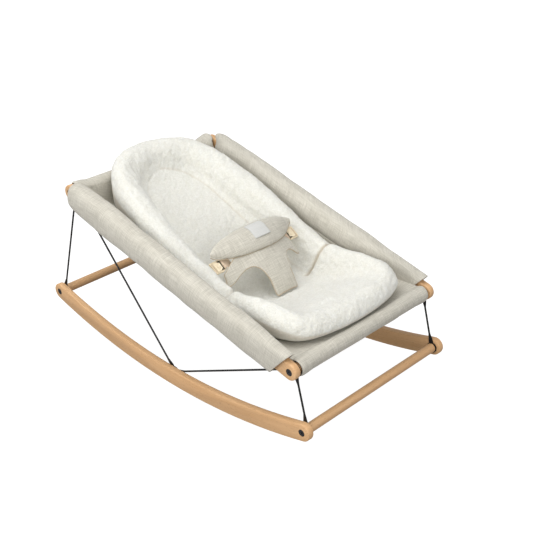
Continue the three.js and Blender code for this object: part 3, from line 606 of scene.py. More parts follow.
def dress(name, finish, bevel=0.0):
    """Gives a CAD node its finish, smooth shading and, if wanted, a narrow bevel."""
    piece = nodes[name]
    piece.data.materials.clear()
    piece.data.materials.append(finish)
    for attribute in ("custom_normal", "sharp_edge", "sharp_face"):
        if attribute in piece.data.attributes:
            piece.data.attributes.remove(piece.data.attributes[attribute])
    modifier(piece, "NODES", "join and shade", node_group=rounder)
    if bevel:
        modifier(piece, "BEVEL", "edge", width=bevel, segments=2, limit_method="ANGLE",
                 angle_limit=BEVEL_FROM, harden_normals=True)


for side in SIDES:
    dress(f"rocker_{side}", beech_round)
    dress(f"side_rail_{side}", beech_slope)
    for rod in ("head", "diagonal", "brace", "foot"):
        dress(f"rod_{rod}_{side}", rod_black)
    for bolted in ("base_head", "base_foot", "rail_head", "rail_foot"):
        dress(f"bolt_{bolted}_{side}", bolt_black, 0.0005)
    dress(f"screw_brace_{side}", bolt_black, 0.0005)
    for moulded in ("frame", "tongue", "button"):
        dress(f"buckle_{moulded}_{side}", buckle_cream, 0.0008)
for bar in ("base_dowel_foot", "base_dowel_head", "crossbar_foot", "crossbar_head"):
    dress(bar, beech_dowel)
print("frame pieces dressed")

# %% [markdown]
# Each side sleeve is a padded linen tube pulled over the rail. Its section is a soft
# rectangle that is narrower at the open foot end, fattest towards the head, and drawn in
# round the rail's end. It is built as rings along the rail. The foot end is cut on a lean,
# and the head end may stop short on its inner side, where it leaves the crossbar's end
# showing. Creases run round the tube near the head and die out down its length.

# %% Side sleeves
SLEEVE_AROUND = 72
SLEEVE_ROWS = 132
SLEEVE_HEAD = RAIL_MM - 2
CUT_AT = 26.0
CUT_LEAN = 0.5
STOPS_SHORT = {-1: -3.0, 1: 29.0}
DRAWN_IN = 0.16
CREASE_DEEP = 1.9
CREASE_APART = 11.5
SLEEVE_SEED = {-1: 6, 1: 5}
TURNED_IN = ((1.2, 0.0), (2.4, 1.2), (2.8, 18.0), (3.2, 46.0))
half_wide = profile(
    [(0, 14.5), (60, 17), (150, 22.5), (330, 24), (560, 25.5), (630, 25.5), (654, 24),
     (670, 20.5), (678, 15)])
half_high = profile(
    [(0, 33), (60, 33), (330, 33.5), (540, 35), (620, 34.5), (654, 32.5), (670, 29), (678, 23)])
squareness = profile([(0, 3.4), (80, 3.0), (250, 2.6), (600, 2.5), (686, 2.4)])


def sleeve_rings(side):
    """The sleeve's skin from foot to head, as x, s and n for each ring and each turn."""
    turn = np.linspace(0, 2 * math.pi, SLEEVE_AROUND, endpoint=False)[None, :]
    part = np.linspace(0, 1, SLEEVE_ROWS)[:, None]
    s = part * SLEEVE_HEAD
    power = 2 / squareness(s)
    bulge_x = np.sign(np.cos(turn)) * np.abs(np.cos(turn)) ** power
    bulge_n = np.sign(np.sin(turn)) * np.abs(np.sin(turn)) ** power
    n = half_high(s) * bulge_n
    cut = CUT_AT - CUT_LEAN * n
    inner = smooth_step(-0.35, 0.9, -side * np.cos(turn)) + 0 * part
    end = SLEEVE_HEAD - STOPS_SHORT[side] * inner
    s = cut + (end - cut) * part
    closing = 1 + inner * smooth_step(0.955, 1.0, part) * -DRAWN_IN
    narrows_at = np.minimum(s + (SLEEVE_HEAD - end) * part**12 * 0.5, SLEEVE_HEAD)
    out = half_wide(narrows_at) * bulge_x * closing
    seed = SLEEVE_SEED[side]
    flat = np.stack([s + 0 * n, 30 * turn + 0 * s, 0 * (s + n)], axis=-1)
    ends = np.clip((s - CUT_AT) / 90, 0, 1) * np.clip((SLEEVE_HEAD - s) / 14, 0, 1)
    gather = bump_at(s, 640, 55) + 0.35 * bump_at(s, 560, 60)
    wander = 1.6 * lumps(flat, 130, seed) + 0.35 * np.sin(turn + seed)
    crease = (1 - np.abs(np.sin(s / CREASE_APART + wander))) ** 2.2
    depth = CREASE_DEEP * gather * (0.55 + 0.45 * lumps(flat, 60, seed + 2)) * crease
    slow = lumps(flat, 150, seed + 4) + 0.45 * lumps(flat, 48, seed + 6)
    rim = (slow - depth) * ends
    out = out + np.cos(turn) * rim
    n = n + np.sin(turn) * rim
    return side * RAIL_X / MM + out, s, n


def side_sleeve(name, side):
    """The sleeve from its closed head to its foot, where the hem turns in to the rail."""
    x, s, n = sleeve_rings(side)
    centre_x = side * RAIL_X / MM
    rings = [seat(x, s, n)[::-1]]
    for inward, along_s in TURNED_IN:
        x_in = (x[0] - centre_x) * (1 - inward / half_wide(s[0]))
        n_in = n[0] * (1 - inward / half_high(s[0]))
        rings.append(seat(centre_x + x_in, s[0] + along_s, n_in)[None])
    points = np.concatenate(rings)
    flat = tube_cloth(points).reshape(-1, 2)
    faces = grid_faces(len(points), SLEEVE_AROUND, wrap=True, flip=side > 0)
    head = points[0].mean(axis=0)
    last = len(points) * SLEEVE_AROUND
    for i in range(SLEEVE_AROUND):
        faces.append((i, (i + 1) % SLEEVE_AROUND, last)[::side])
    points = np.concatenate([points.reshape(-1, 3), head[None]])
    return add_mesh(name, points, faces, np.concatenate([flat, [[0.0, -0.02]]]))


for side, sign in SIDES.items():
    sleeve = side_sleeve(f"side_sleeve_cover_{side}", sign)
    sleeve.data.materials.append(linen)
    modifier(sleeve, "SUBSURF", "smooth", levels=1, render_levels=1)
    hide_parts(f"side_sleeve_{side}")
    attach(sleeve, SEAT)
print("side sleeves", SLEEVE_ROWS, "rings each")

# %% [markdown]
# The cloth of the seat also wraps the two crossbars. There it is tight, with a few short
# folds pulled in near each end, and it swells where it is pushed up against the side
# sleeves, most of all at the head.

# %% Crossbar sleeves
BAR_HALF = 195.0
BAR_AROUND = 48
BAR_COLUMNS = 120


def bar_sleeve(name, centre, radius, seed, puff):
    """A cloth tube round a crossbar, puff millimetres fatter at its ends."""
    turn = np.linspace(0, 2 * math.pi, BAR_AROUND, endpoint=False)[:, None]
    x = np.linspace(-BAR_HALF, BAR_HALF + 2, BAR_COLUMNS)[None, :]
    place = np.stack([x + 0 * turn, 30 * turn + 0 * x, 0 * (x + turn)], axis=-1)
    from_end = BAR_HALF - np.abs(x)
    near_end = np.exp(-from_end / 40)
    fold = np.abs(np.sin(x / 10 + 0.9 * np.sin(turn + seed) + lumps(place, 90, seed)))
    r = radius + 0.5 * lumps(place, 70, seed + 1) - 1.6 * near_end * (1 - fold) ** 2
    swell = np.exp(-((from_end - 4) / 19) ** 2) * smooth_step(-4, 4, from_end)
    r = r + (puff * np.where(x > 0, 1, 0.55) + 0.5) * swell
    lean = puff * np.sign(x) * smooth_step(0.5, 0.9, np.sin(turn)) * smooth_step(22, 2, from_end)
    y = centre.y + MM * r * np.cos(turn)
    z = centre.z + MM * r * np.sin(turn)
    points = np.stack([MM * (x + lean) + 0 * y, y, z], axis=-1).transpose(1, 0, 2)
    faces = grid_faces(BAR_COLUMNS, BAR_AROUND, wrap=True, flip=True)
    piece = add_mesh(name, points, faces, tube_cloth(points))
    modifier(piece, "SOLIDIFY", "cloth", thickness=0.0014, offset=-1.0)
    modifier(piece, "SUBSURF", "smooth", levels=1, render_levels=1)
    return piece


for name, bar, radius, seed, puff in (
    ("foot_sleeve_cover", "crossbar_foot", 15.8, 21, 0.8),
    ("head_sleeve_cover", "crossbar_head", 15.4, 31, 7.5),
):
    cover = bar_sleeve(name, middle(bar), radius, seed, puff)
    cover.data.materials.append(linen)
    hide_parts(name.replace("_cover", ""))
    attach(cover, SEAT)
print("crossbar sleeves")

# %% [markdown]
# The sunken seat is one sewn piece of linen: side walls that hang from the side sleeves, a
# wall at the head, and a floor. It carries the plush nest and shows at the corners and
# from below. Its height over the rails' plane is a profile along the middle that rises to
# the edges in a quarter curve. At both ends it runs on round the crossbar, and its edges
# reach out under the side sleeves.

# %% Seat sling
SLING_HALF = 184.0
SLING_FLAT = 0.38 * SLING_HALF
SLING_FOOT = 17.0
SLING_HEAD = RAIL_MM - 18.0
sling_depth = profile(
    [(0.026, 8), (0.09, -14), (0.165, -42), (0.25, -72), (0.355, -98), (0.49, -96),
     (0.66, -78), (0.83, -59), (0.925, -50), (0.95, -47), (0.963, -26), (0.973, 2)], RAIL_MM)
sling_edge = profile([(0.026, 10), (0.12, -2), (0.3, -8), (0.88, -8), (0.973, 4)], RAIL_MM)


def sling_height(x, s):
    """How high the sling lies over the rails' plane."""
    t = np.clip((np.abs(x) - SLING_FLAT) / (SLING_HALF - SLING_FLAT), 0, 1)
    rise = 1 - np.sqrt(1 - 0.985 * t * t)
    return sling_depth(s) + (sling_edge(s) - sling_depth(s)) * rise


WRAP = 17.0
HEAD_FOLDS_AT = RAIL_MM - 30
around_foot = np.radians(np.linspace(215, 40, 24))
around_head = np.radians(np.linspace(165, -35, 26))
across = np.linspace(-0.5, 0.5, 97)[None, :]
inner_s = np.linspace(SLING_FOOT, SLING_HEAD, 121)
foot_s, head_s = WRAP * np.cos(around_foot), RAIL_MM + WRAP * np.cos(around_head)
foot_n, head_n = WRAP * np.sin(around_foot), WRAP * np.sin(around_head)
s = np.concatenate([foot_s, inner_s, head_s])[:, None]
wrapped = np.concatenate([foot_n, 0 * inner_s, head_n])[:, None]
is_inner = np.concatenate([0 * foot_n, 1 + 0 * inner_s, 0 * head_n])[:, None]
x = SLING_HALF * (0.55 * np.sin(across * math.pi) + 0.9 * across) + 0 * s
s = s + 0 * x
height = is_inner * sling_height(x, s) + (1 - is_inner) * wrapped
place = np.stack([x, s, 0 * x], axis=-1)
inside = np.clip((SLING_HALF - np.abs(x)) / 25, 0, 1)
inside = inside * smooth_step(0, 40, s) * smooth_step(RAIL_MM, HEAD_FOLDS_AT, s)
height = height - 0.6 * inside * (1 + lumps(place, 95, 41))
side_pull = bump_at(np.abs(x), 160, 30) * np.sin(s / 13 + 1.3 * lumps(place, 120, 43))
head_folds = bump_at(s, HEAD_FOLDS_AT, 22) * np.sin(x / 7 + 1.5 * lumps(place, 60, 45))
height = height + (0.8 * side_pull + 1.3 * head_folds) * inside
sleeve_inside = RAIL_X / MM - half_wide(np.clip(s, 0, 600))
reach = (sleeve_inside + 1.5 + 11 * smooth_step(615, 645, s)) / SLING_HALF
sling_points = seat(x * (1 + (np.maximum(reach, 1) - 1) * (x / SLING_HALF) ** 4), s, height)
sling = cloth_grid("seat_sling_cloth", sling_points)
sling.data.materials.append(linen)
modifier(sling, "SOLIDIFY", "cloth", thickness=0.002, offset=-1.0)
modifier(sling, "SUBSURF", "smooth", levels=1, render_levels=1)
print("sling cloth", round(area_of(sling_points), 3), "m2")
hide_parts("seat_sling")
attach(sling, SEAT)

# %% [markdown]
# The plush nest is the piece that the eye goes to. It is a flat panel folded between back
# and seat, with a thick filled rim sewn round it. It is drawn as a height over the seat's
# plane: distances from the outline give the round of the rim, and a second curve gives
# the panel. The rim is then blown up a little by a cloth simulation, as filling does.

# %% The nest's outline
HALF_WIDTHS = [
    (0.026, 0.6), (0.055, 0.84), (0.115, 0.945), (0.2, 0.955), (0.33, 0.965), (0.42, 0.97),
    (0.485, 0.975), (0.62, 0.985), (0.76, 0.95), (0.878, 0.865), (0.965, 0.7), (1.022, 0.44),
]
NEST_FOOT = 0.01 * RAIL_MM
NEST_HEAD = 1.055 * RAIL_MM
NEST_HALF = 0.965 * SLING_HALF
panel_height = profile(
    [(0.04, 30), (0.11, 34), (0.165, 12), (0.22, -18), (0.3, -54), (0.36, -72), (0.44, -70),
     (0.59, -48), (0.71, -28), (0.82, -8), (0.895, 4), (0.94, 22), (0.985, 44), (1.05, 40)],
    RAIL_MM)
rim_height = profile(
    [(0.02, 42), (0.11, 52), (0.22, 35), (0.34, 4), (0.48, 11), (0.62, 28), (0.76, 44),
     (0.88, 54), (1.0, 58), (1.055, 48)], RAIL_MM)
nest_floor = profile([(0.8, -200), (0.9, -46), (0.94, -12), (0.98, 17), (1.06, 21)], RAIL_MM)
rim_inner = profile([(0.05, 66), (0.48, 70), (0.66, 82), (1, 88)], RAIL_MM)
RIM_CREST = 30.0
SPOKES = 208


def closed_curve(points, count):
    """Evenly spaced points on a smooth closed curve through the given ones."""
    points = np.asarray(points, float)
    fine = []
    total = len(points)
    for i in range(total):
        p0, p1, p2, p3 = (points[(i + k) % total] for k in (-1, 0, 1, 2))
        pairs = ((p0, p1), (p1, p2), (p2, p3))
        d1, d2, d3 = (max(np.linalg.norm(b - a) ** 0.5, 1e-6) for a, b in pairs)
        m1 = (p1 - p0) / d1 - (p2 - p0) / (d1 + d2) + (p2 - p1) / d2
        m2 = (p2 - p1) / d2 - (p3 - p1) / (d2 + d3) + (p3 - p2) / d3
        t = np.linspace(0, 1, 40, endpoint=False)[:, None]
        a = 2 * (p1 - p2) + d2 * (m1 + m2)
        b = -3 * (p1 - p2) - d2 * (2 * m1 + m2)
        fine.append(((a * t + b) * t + d2 * m1) * t + p1)
    fine = np.concatenate(fine + [fine[0][:1]])
    step = np.concatenate([[0], np.cumsum(np.linalg.norm(np.diff(fine, axis=0), axis=1))])
    want = np.linspace(0, step[-1], count, endpoint=False)
    return np.stack([np.interp(want, step, fine[:, k]) for k in (0, 1)], axis=-1)


one_half = [(w * NEST_HALF, f * RAIL_MM) for f, w in HALF_WIDTHS]
other_half = [(-a, b) for a, b in reversed(one_half)]
outline = closed_curve([(0, NEST_FOOT), *one_half, (0, NEST_HEAD), *other_half], SPOKES)
print("nest outline", round(np.ptp(outline[:, 0])), "by", round(np.ptp(outline[:, 1])), "mm")


def inward_of(x, s):
    """Distance in from the outline, in millimetres."""
    points = np.stack([x, s], axis=-1).reshape(-1, 1, 2)
    a = outline[None]
    b = np.roll(outline, -1, axis=0)[None]
    t = np.clip(((points - a) * (b - a)).sum(-1) / ((b - a) ** 2).sum(-1), 0, 1)
    gap = np.linalg.norm(points - (a + (b - a) * t[..., None]), axis=-1)
    return gap.min(axis=1).reshape(np.shape(x))


# %% The nest's closed shape
RINGS = 62
NEST_LIFT = 2.3


def nest_heights(x, s, inward):
    """Heights of the nest's upper and lower faces over the rails' plane."""
    floor = np.maximum(sling_height(x, s) + NEST_LIFT, nest_floor(s))
    crest = rim_height(s)
    half = (floor + crest) / 2
    edge = np.sqrt(np.clip(1 - np.clip(1 - inward / RIM_CREST, 0, 1) ** 2, 0, 1))
    t = np.clip((inward - RIM_CREST) / (rim_inner(s) - RIM_CREST), 0, 1)
    inner = crest + (panel_height(s) - crest) * t * t * (3 - 2 * t)
    outer = half + (crest - half) * edge
    top = np.where(inward < RIM_CREST, outer, inner)
    bottom = np.where(inward < RIM_CREST, half - (half - floor) * edge, floor)
    return top, bottom


heart = np.array([0, (NEST_FOOT + NEST_HEAD) / 2])
reach = (1 - (np.arange(RINGS) / RINGS) ** 1.35)[:, None, None]
flat = heart + (outline[None] - heart) * reach
inward = inward_of(flat[..., 0], flat[..., 1])
top, bottom = nest_heights(flat[..., 0], flat[..., 1], inward)
top_points = seat(flat[..., 0], flat[..., 1], top)
bottom_points = seat(flat[..., 0], flat[..., 1], bottom)[1:]
heart_top, heart_bottom = nest_heights(heart[0], heart[1], np.array(200.0))
points = np.concatenate(
    [top_points.reshape(-1, 3), bottom_points.reshape(-1, 3),
     seat(heart[0], heart[1], np.array([heart_top, heart_bottom]).ravel())]
)
faces = grid_faces(RINGS, SPOKES, wrap=True)
under = RINGS * SPOKES
faces += grid_faces(RINGS - 1, SPOKES, wrap=True, flip=True, start=under)
last_top, last_under = (RINGS - 1) * SPOKES, under + (RINGS - 2) * SPOKES
for i in range(SPOKES):
    k = (i + 1) % SPOKES
    faces.append((k, i, under + i, under + k))
    faces.append((last_top + i, last_top + k, len(points) - 2))
    faces.append((last_under + k, last_under + i, len(points) - 1))
nest = add_mesh("nest_plush", points, faces)
print("nest", len(nest.data.vertices), "points")

# %% [markdown]
# The simulation follows a simple recipe. The nest is remeshed into even squares, the
# panel and the underside are pinned, and a small pressure fills the rim for twenty
# frames. How far a point may move is capped, so the nest keeps its size.


# %% Filling by simulation
FILLING_FRAMES = 20
STIFFNESS = 12.0


def fill_up(piece, voxel, pressure, cap, pin):
    """Remeshes a closed piece, blows it up a little as cloth, and keeps the result."""
    modifier(piece, "REMESH", "even", mode="VOXEL", voxel_size=voxel)
    apply_all(piece)
    modifier(piece, "SMOOTH", "relax", factor=0.5, iterations=3)
    apply_all(piece)
    round_off(piece.data)
    before = places(piece)
    group = piece.vertex_groups.new(name="held")
    held = np.round(pin(before), 1)
    for level in np.unique(held):
        chosen = np.nonzero(held == level)[0].tolist()
        group.add(chosen, float(level), "REPLACE")
    cloth = modifier(piece, "CLOTH", "filling").settings
    cloth.use_pressure = True
    cloth.uniform_pressure_force = pressure
    cloth.effector_weights.gravity = 0.0
    cloth.vertex_group_mass = "held"
    cloth.quality = 5
    cloth.tension_stiffness = STIFFNESS
    cloth.compression_stiffness = STIFFNESS
    cloth.bending_stiffness = 0.4
    cloth.mass = 0.3
    scene = bpy.context.scene
    for step in range(1, FILLING_FRAMES + 1):
        scene.frame_set(step)
    shaped = piece.evaluated_get(bpy.context.evaluated_depsgraph_get())
    moved = places(shaped) - before
    far = np.linalg.norm(moved, axis=1, keepdims=True)
    moved *= np.minimum(1, cap / np.maximum(far, 1e-9))
    piece.modifiers.clear()
    piece.vertex_groups.clear()
    scene.frame_set(1)
    put_places(piece, before + moved)
    print(piece.name, len(before), "points moved up to", round(float(far.max()) / MM, 1), "mm")
    return piece


def hold_panel(points):
    """How firmly each point of the nest is pinned: the panel and the underside fully."""
    x, s, n = seat_coordinates(points)
    inward = inward_of(x, s)
    upper, lower = nest_heights(x, s, inward)
    panel = smooth_step(rim_inner(s) - 22, rim_inner(s) - 4, inward)
    below = 1 - smooth_step(0.25, 0.6, (n - lower) / np.maximum(upper - lower, 1))
    return np.clip(np.maximum(panel, below), 0, 1)


fill_up(nest, 0.005, 4.0, 0.006, hold_panel)

# %% [markdown]
# The seams come after the simulation, since the remesh would wipe them out: a stitched
# line where the rim meets the panel, small gathers that run out from it, and the crease
# across each side where the nest folds between back and seat. Each pushes the surface in
# or out. Along the seam and the crease a warm tan is painted in, partly the backing where
# the pile opens and partly painted shade, and a tan line of painted shade runs round the
# nest's lower edge where it rests on the cloth. Seeded waves of three sizes then make
# the surface uneven, as a pile is.

# %% Seams, gathers and pile
modifier(nest, "SUBSURF", "fine", levels=1, render_levels=1)
apply_all(nest)
points = places(nest)
x, s, n = seat_coordinates(points)
inward = inward_of(x, s)
upper, lower = nest_heights(x, s, inward)
on_top = smooth_step(0.45, 0.8, (n - lower) / np.maximum(upper - lower, 1))
seam_at = rim_inner(s) - 2
seam = bump_at(inward, seam_at, 3.2) * smooth_step(0.2 * RAIL_MM, 0.34 * RAIL_MM, s)
bearing = np.arctan2(x, (s - 0.62 * RAIL_MM) * 0.6)
radiating = np.sin(bearing * 34 + 1.5 * lumps(points, 0.09, 61))
gathers = bump_at(inward, rim_inner(s) - 16, 15) * radiating
at_side = smooth_step(84, 112, np.abs(x))
fold_line = s - (0.345 * RAIL_MM - 0.1 * (np.abs(x) - 120))
fold = bump_at(fold_line, 0, 4.5) * at_side * smooth_step(2, 20, inward)
fold = fold - 0.25 * bump_at(fold_line, -13, 9) * at_side
push = -1.1 * seam + 0.4 * gathers * smooth_step(0.35 * RAIL_MM, 0.5 * RAIL_MM, s) - 6.0 * fold
for height, size, seed in ((0.9, 0.05, 63), (0.45, 0.02, 65), (0.3, 0.009, 67)):
    push = push + height * lumps(points, size, seed)
put_places(nest, points + normals(nest) * (MM * push * on_top)[:, None])
# Painted shade along the crease and the seam, mixed with the backing that shows where the pile
# opens; stronger where x is above 0.
fold_parting_and_shade = np.where(x > 0, 0.75, 0.3) * smooth_step(88, 112, np.abs(x)) * on_top
seam_parting_and_shade = np.where(x > 0, 0.28, 0.08) * on_top
seam_parting_and_shade = seam_parting_and_shade * smooth_step(0.3 * RAIL_MM, 0.45 * RAIL_MM, s)
parting_and_shade = fold_parting_and_shade * bump_at(fold_line, 1, 2.6)
parting_and_shade = parting_and_shade + seam_parting_and_shade * bump_at(inward, seam_at, 2.2)
# Painted shade: a tan line round the nest's lower edge, where it rests on the cloth.
parting_and_shade = parting_and_shade + 0.35 * bump_at(inward, 0, 5) * (1 - on_top)
made = nest.data.attributes.new("parting_and_shade", "FLOAT", "POINT")
made.data.foreach_set("value", np.clip(parting_and_shade, 0, 1).astype(np.float32))
nest.data.materials.append(plush)
round_off(nest.data)
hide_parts("insert")
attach(nest, SEAT)
print("nest surface", len(nest.data.vertices), "points")

# %% [markdown]
# The harness is a T of doubled linen. It rises from a seam in the crotch, arches over the
# sitter and carries a leaf-shaped pad. Axes of its own make it simple to draw: t runs up
# the panel and h stands out of it. The middle bows up and the sides droop to the buckles,
# less so at the top. The whole of it sits a little to one side, as a harness does once a
# strap has been pulled.

# %% The harness's own axes
HINGE_S, HINGE_N = 0.301 * RAIL_MM, -46.0
WAIST_S, WAIST_N = 0.48 * RAIL_MM, 30.0
HARNESS_HALF = 0.59 * SLING_HALF
ASIDE = 6.0
BOW = 11
DROOP = 38
DROOP_EASED = 18
PANEL_LONG = math.hypot(WAIST_S - HINGE_S, WAIST_N - HINGE_N)
RISE_S, RISE_N = (WAIST_S - HINGE_S) / PANEL_LONG, (WAIST_N - HINGE_N) / PANEL_LONG


def harness(x, t, h):
    """Points of the harness: x across, t up the panel from its seam, h out of it."""
    side = np.minimum(1, np.abs(x) / HARNESS_HALF) ** 2
    f = t / PANEL_LONG
    bow = BOW * np.sin(math.pi * np.clip(f, 0, 1))
    out = h + bow * (1 - side) + (DROOP_EASED * f - DROOP) * side
    return seat(x, HINGE_S + RISE_S * t - RISE_N * out, HINGE_N + RISE_N * t + RISE_S * out)


def up_panel(s, n):
    """How far up the panel a point of the seat lies."""
    return (s - HINGE_S) * RISE_S + (n - HINGE_N) * RISE_N


def along_path(turns, count):
    """Evenly spaced points along a smooth open path through the given ones."""
    turns = np.asarray(turns, float)
    step = np.concatenate([[0], np.cumsum(np.linalg.norm(np.diff(turns, axis=0), axis=1))])
    reads = [profile(list(zip(step, turns[:, k]))) for k in (0, 1)]
    want = np.linspace(0, step[-1], count)
    return np.stack([read(want) for read in reads], axis=-1)


# %% [markdown]
# The panel is drawn between two edges, one half of each given as (share of the half width,
# share of the length): the leg edge runs up the stem and over the leg's arch, and the top
# edge runs along the pad and down to the tip. Rows between them make the cloth, which is
# then given two layers' thickness.

# %% Harness panel
LEG_EDGE = [
    (0, 0), (0.12, 0), (0.225, 0.0), (0.235, 0.1), (0.26, 0.28), (0.34, 0.44), (0.46, 0.535),
    (0.6, 0.555), (0.74, 0.52), (0.86, 0.46), (0.96, 0.45),
]
TOP_EDGE = [(0, 1), (0.2, 1), (0.4, 1), (0.55, 0.98), (0.61, 0.84), (0.8, 0.73), (0.97, 0.63)]
STEM_FLARE = 0.24
HALF_COLUMNS = 60
PANEL_ROWS = 26
halves = [along_path(edge, HALF_COLUMNS) for edge in (LEG_EDGE, TOP_EDGE)]
leg_edge, top_edge = (np.concatenate([(e * [-1, 1])[:0:-1], e])[None] for e in halves)
rows = np.linspace(0, 1, PANEL_ROWS)[:, None, None]
spread = leg_edge * (1 - rows) + top_edge * rows
px, pt = spread[..., 0] * HARNESS_HALF, spread[..., 1] * PANEL_LONG
foot_share = 1 - smooth_step(0.1, 0.6, spread[..., 1])
px = px * (1 + STEM_FLARE * foot_share) + ASIDE * (1 - (px / HARNESS_HALF) ** 2)
place = np.stack([px, pt, 0 * px], axis=-1)
wave = 0.9 * lumps(place, 60, 71) + 0.4 * lumps(place, 22, 72)
under_pad = smooth_step(0.7, 0.95, pt / PANEL_LONG)
wave = wave * smooth_step(0, 0.15, rows[..., 0]) * (1 - 0.8 * under_pad)
panel_points = harness(px, pt, wave)
panel = add_mesh(
    "crotch_panel_cloth", panel_points, grid_faces(PANEL_ROWS, 2 * HALF_COLUMNS - 1),
    np.stack([px, pt], axis=-1) * MM,
)
panel.data.materials.append(linen)
modifier(panel, "SOLIDIFY", "layers", thickness=0.003, offset=0.0)
modifier(panel, "SUBSURF", "smooth", levels=1, render_levels=1)
print("panel cloth", round(area_of(panel_points), 4), "m2")
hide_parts("crotch_panel")
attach(panel, HARNESS)

# %% [markdown]
# The panel's edge is turned and sewn, which shows as a thin warm line. A fine tube along a
# path of points stands for it. The seam along the pad's lower edge is made the same way.


# %% Sewn edges
def sewn_line(name, points, radius, body, closed=False):
    """A thin tube of stitches along points, riding with a body."""
    points = np.asarray(points, float)
    ahead, behind = np.roll(points, -1, axis=0), np.roll(points, 1, axis=0)
    if not closed:
        ahead[-1], behind[0] = points[-1], points[0]
    along = ahead - behind
    along /= np.linalg.norm(along, axis=1, keepdims=True)
    up = np.array([0.0, -RISE, RUN])
    side_of = np.cross(along, up)
    side_of /= np.linalg.norm(side_of, axis=1, keepdims=True)
    over = np.cross(side_of, along)
    turn = np.linspace(0, 2 * math.pi, 6, endpoint=False)[None, :, None]
    ring = side_of[:, None] * np.cos(turn) + over[:, None] * np.sin(turn)
    tube = points[:, None] + MM * radius * ring
    if closed:
        tube = np.concatenate([tube, tube[:1]])
    piece = add_mesh(name, tube, grid_faces(len(tube), 6, wrap=True))
    piece.data.materials.append(thread)
    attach(piece, body)
    return piece


inner_rows = panel_points[1:-1]
border = np.concatenate(
    [panel_points[0], inner_rows[:, -1], panel_points[-1][::-1], inner_rows[:, 0][::-1]]
)
sewn_line("panel_edge", border, 1.35, HARNESS, closed=True)

# %% [markdown]
# The waist pad is a leaf of linen with a soft filling, sewn on the panel's top edge. It is
# thick in the middle and runs out to two points over the buckles. A closed shape is drawn
# first and then filled by the same simulation as the nest, with its edge held.

# %% Waist pad
PAD_REACH = 1.08 * HARNESS_HALF
PAD_MIDDLE = PANEL_LONG - 9
PAD_TALL = 33.0
PAD_THICK = 14.0
PAD_BASE = 2.45
PAD_COLUMNS = 90
PAD_ROWS = 40


def pad_share(x):
    """The pad's height at x, as a share of its height in the middle."""
    side = np.minimum(1, np.abs(x) / PAD_REACH)
    return 1 - 0.45 * side**2 - 0.42 * side**5


def pad_middle(x):
    """The pad's middle line rises a little towards the buckles."""
    return PAD_MIDDLE + 5 * np.minimum(1, np.abs(x) / PAD_REACH) ** 2


def pad_points(x, across, fill):
    """The pad's face at x and at across, -1 to 1 from low edge to high. fill 0 is its back."""
    t = pad_middle(x) + across * PAD_TALL * pad_share(x)
    puff = fill * PAD_THICK * np.sqrt(1 - 0.96 * across**2) * (0.35 + 0.65 * pad_share(x))
    curl = np.where(t > PANEL_LONG, -0.02 * (t - PANEL_LONG) ** 2, 0)
    aside = ASIDE * (1 - 0.5 * (x / PAD_REACH) ** 2 + 0.7 * (x / PAD_REACH) ** 3)
    return harness(x + aside, t, PAD_BASE + curl + puff)


x = np.linspace(-PAD_REACH, PAD_REACH, PAD_COLUMNS)[None, :]
across = np.sin(np.linspace(-math.pi / 2, math.pi / 2, PAD_ROWS))[:, None]
points = np.concatenate([pad_points(x, across, fill).reshape(-1, 3) for fill in (1, 0)])
number = np.arange(PAD_ROWS * PAD_COLUMNS).reshape(PAD_ROWS, PAD_COLUMNS)
rim = np.concatenate([number[0], number[1:, -1], number[-1, -2::-1], number[-2:0:-1, 0]])
rim_next = np.roll(rim, -1)
faces = grid_faces(PAD_ROWS, PAD_COLUMNS)
faces += grid_faces(PAD_ROWS, PAD_COLUMNS, flip=True, start=number.size)
faces += np.stack([rim + number.size, rim_next + number.size, rim_next, rim], axis=1).tolist()
pad = add_mesh("waist_pad_cushion", points, faces)


def hold_edge(points):
    """How firmly each point of the pad is pinned: its sewn edge and its two points."""
    x, s, n = seat_coordinates(points)
    across = (up_panel(s, n) - pad_middle(x)) / (PAD_TALL * pad_share(x))
    sewn = smooth_step(0.75, 0.95, np.abs(across))
    return np.clip(sewn + smooth_step(96, 104, np.abs(x)), 0, 1)


fill_up(pad, 0.003, 3.0, 0.004, hold_edge)
points = places(pad)
x, s, n = seat_coordinates(points)
put_places(pad, points + normals(pad) * (MM * 0.35 * lumps(points, 0.03, 81))[:, None])
give_cloth(pad.data, np.stack([x, up_panel(s, n)], axis=-1) * MM)
pad.data.materials.append(linen)
modifier(pad, "SUBSURF", "smooth", levels=1, render_levels=1)
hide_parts("waist_pad")
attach(pad, HARNESS)

low_seam = pad_points(np.linspace(-PAD_REACH, PAD_REACH, 80), -0.985, 0.12)
sewn_line("pad_low_seam", low_seam, 0.9, HARNESS)

# %% [markdown]
# A blank woven label is sewn on the middle of the pad. It follows the pad's round, so it
# is drawn with the same function and lifted clear of it.

# %% Label
LABEL_HALF = 23.0
LABEL_ACROSS = 0.3
LABEL_TALL = 0.55
LABEL_LIFT = 1.1
x = np.linspace(-LABEL_HALF, LABEL_HALF, 24)[None, :]
across = np.linspace(LABEL_ACROSS - LABEL_TALL, LABEL_ACROSS + LABEL_TALL, 24)[:, None]
outwards = seat(0, -RISE_N, RISE_S) - seat(0, 0, 0)
label = cloth_grid("pad_label_tape", pad_points(x, across, 1) + outwards * LABEL_LIFT)
label.data.materials.append(label_white)
modifier(label, "SOLIDIFY", "cloth", thickness=0.0007, offset=1.0)
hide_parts("pad_label")
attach(label, HARNESS)

# %% [markdown]
# The straps are flat webbing. A belt strap comes out from under the pad and turns down
# through the buckle's tongue, and a side strap goes straight down from the buckle's tray
# into the nest. They are short, so each is drawn as a strip of points with a little
# thickness, and its ribs are in the finish.

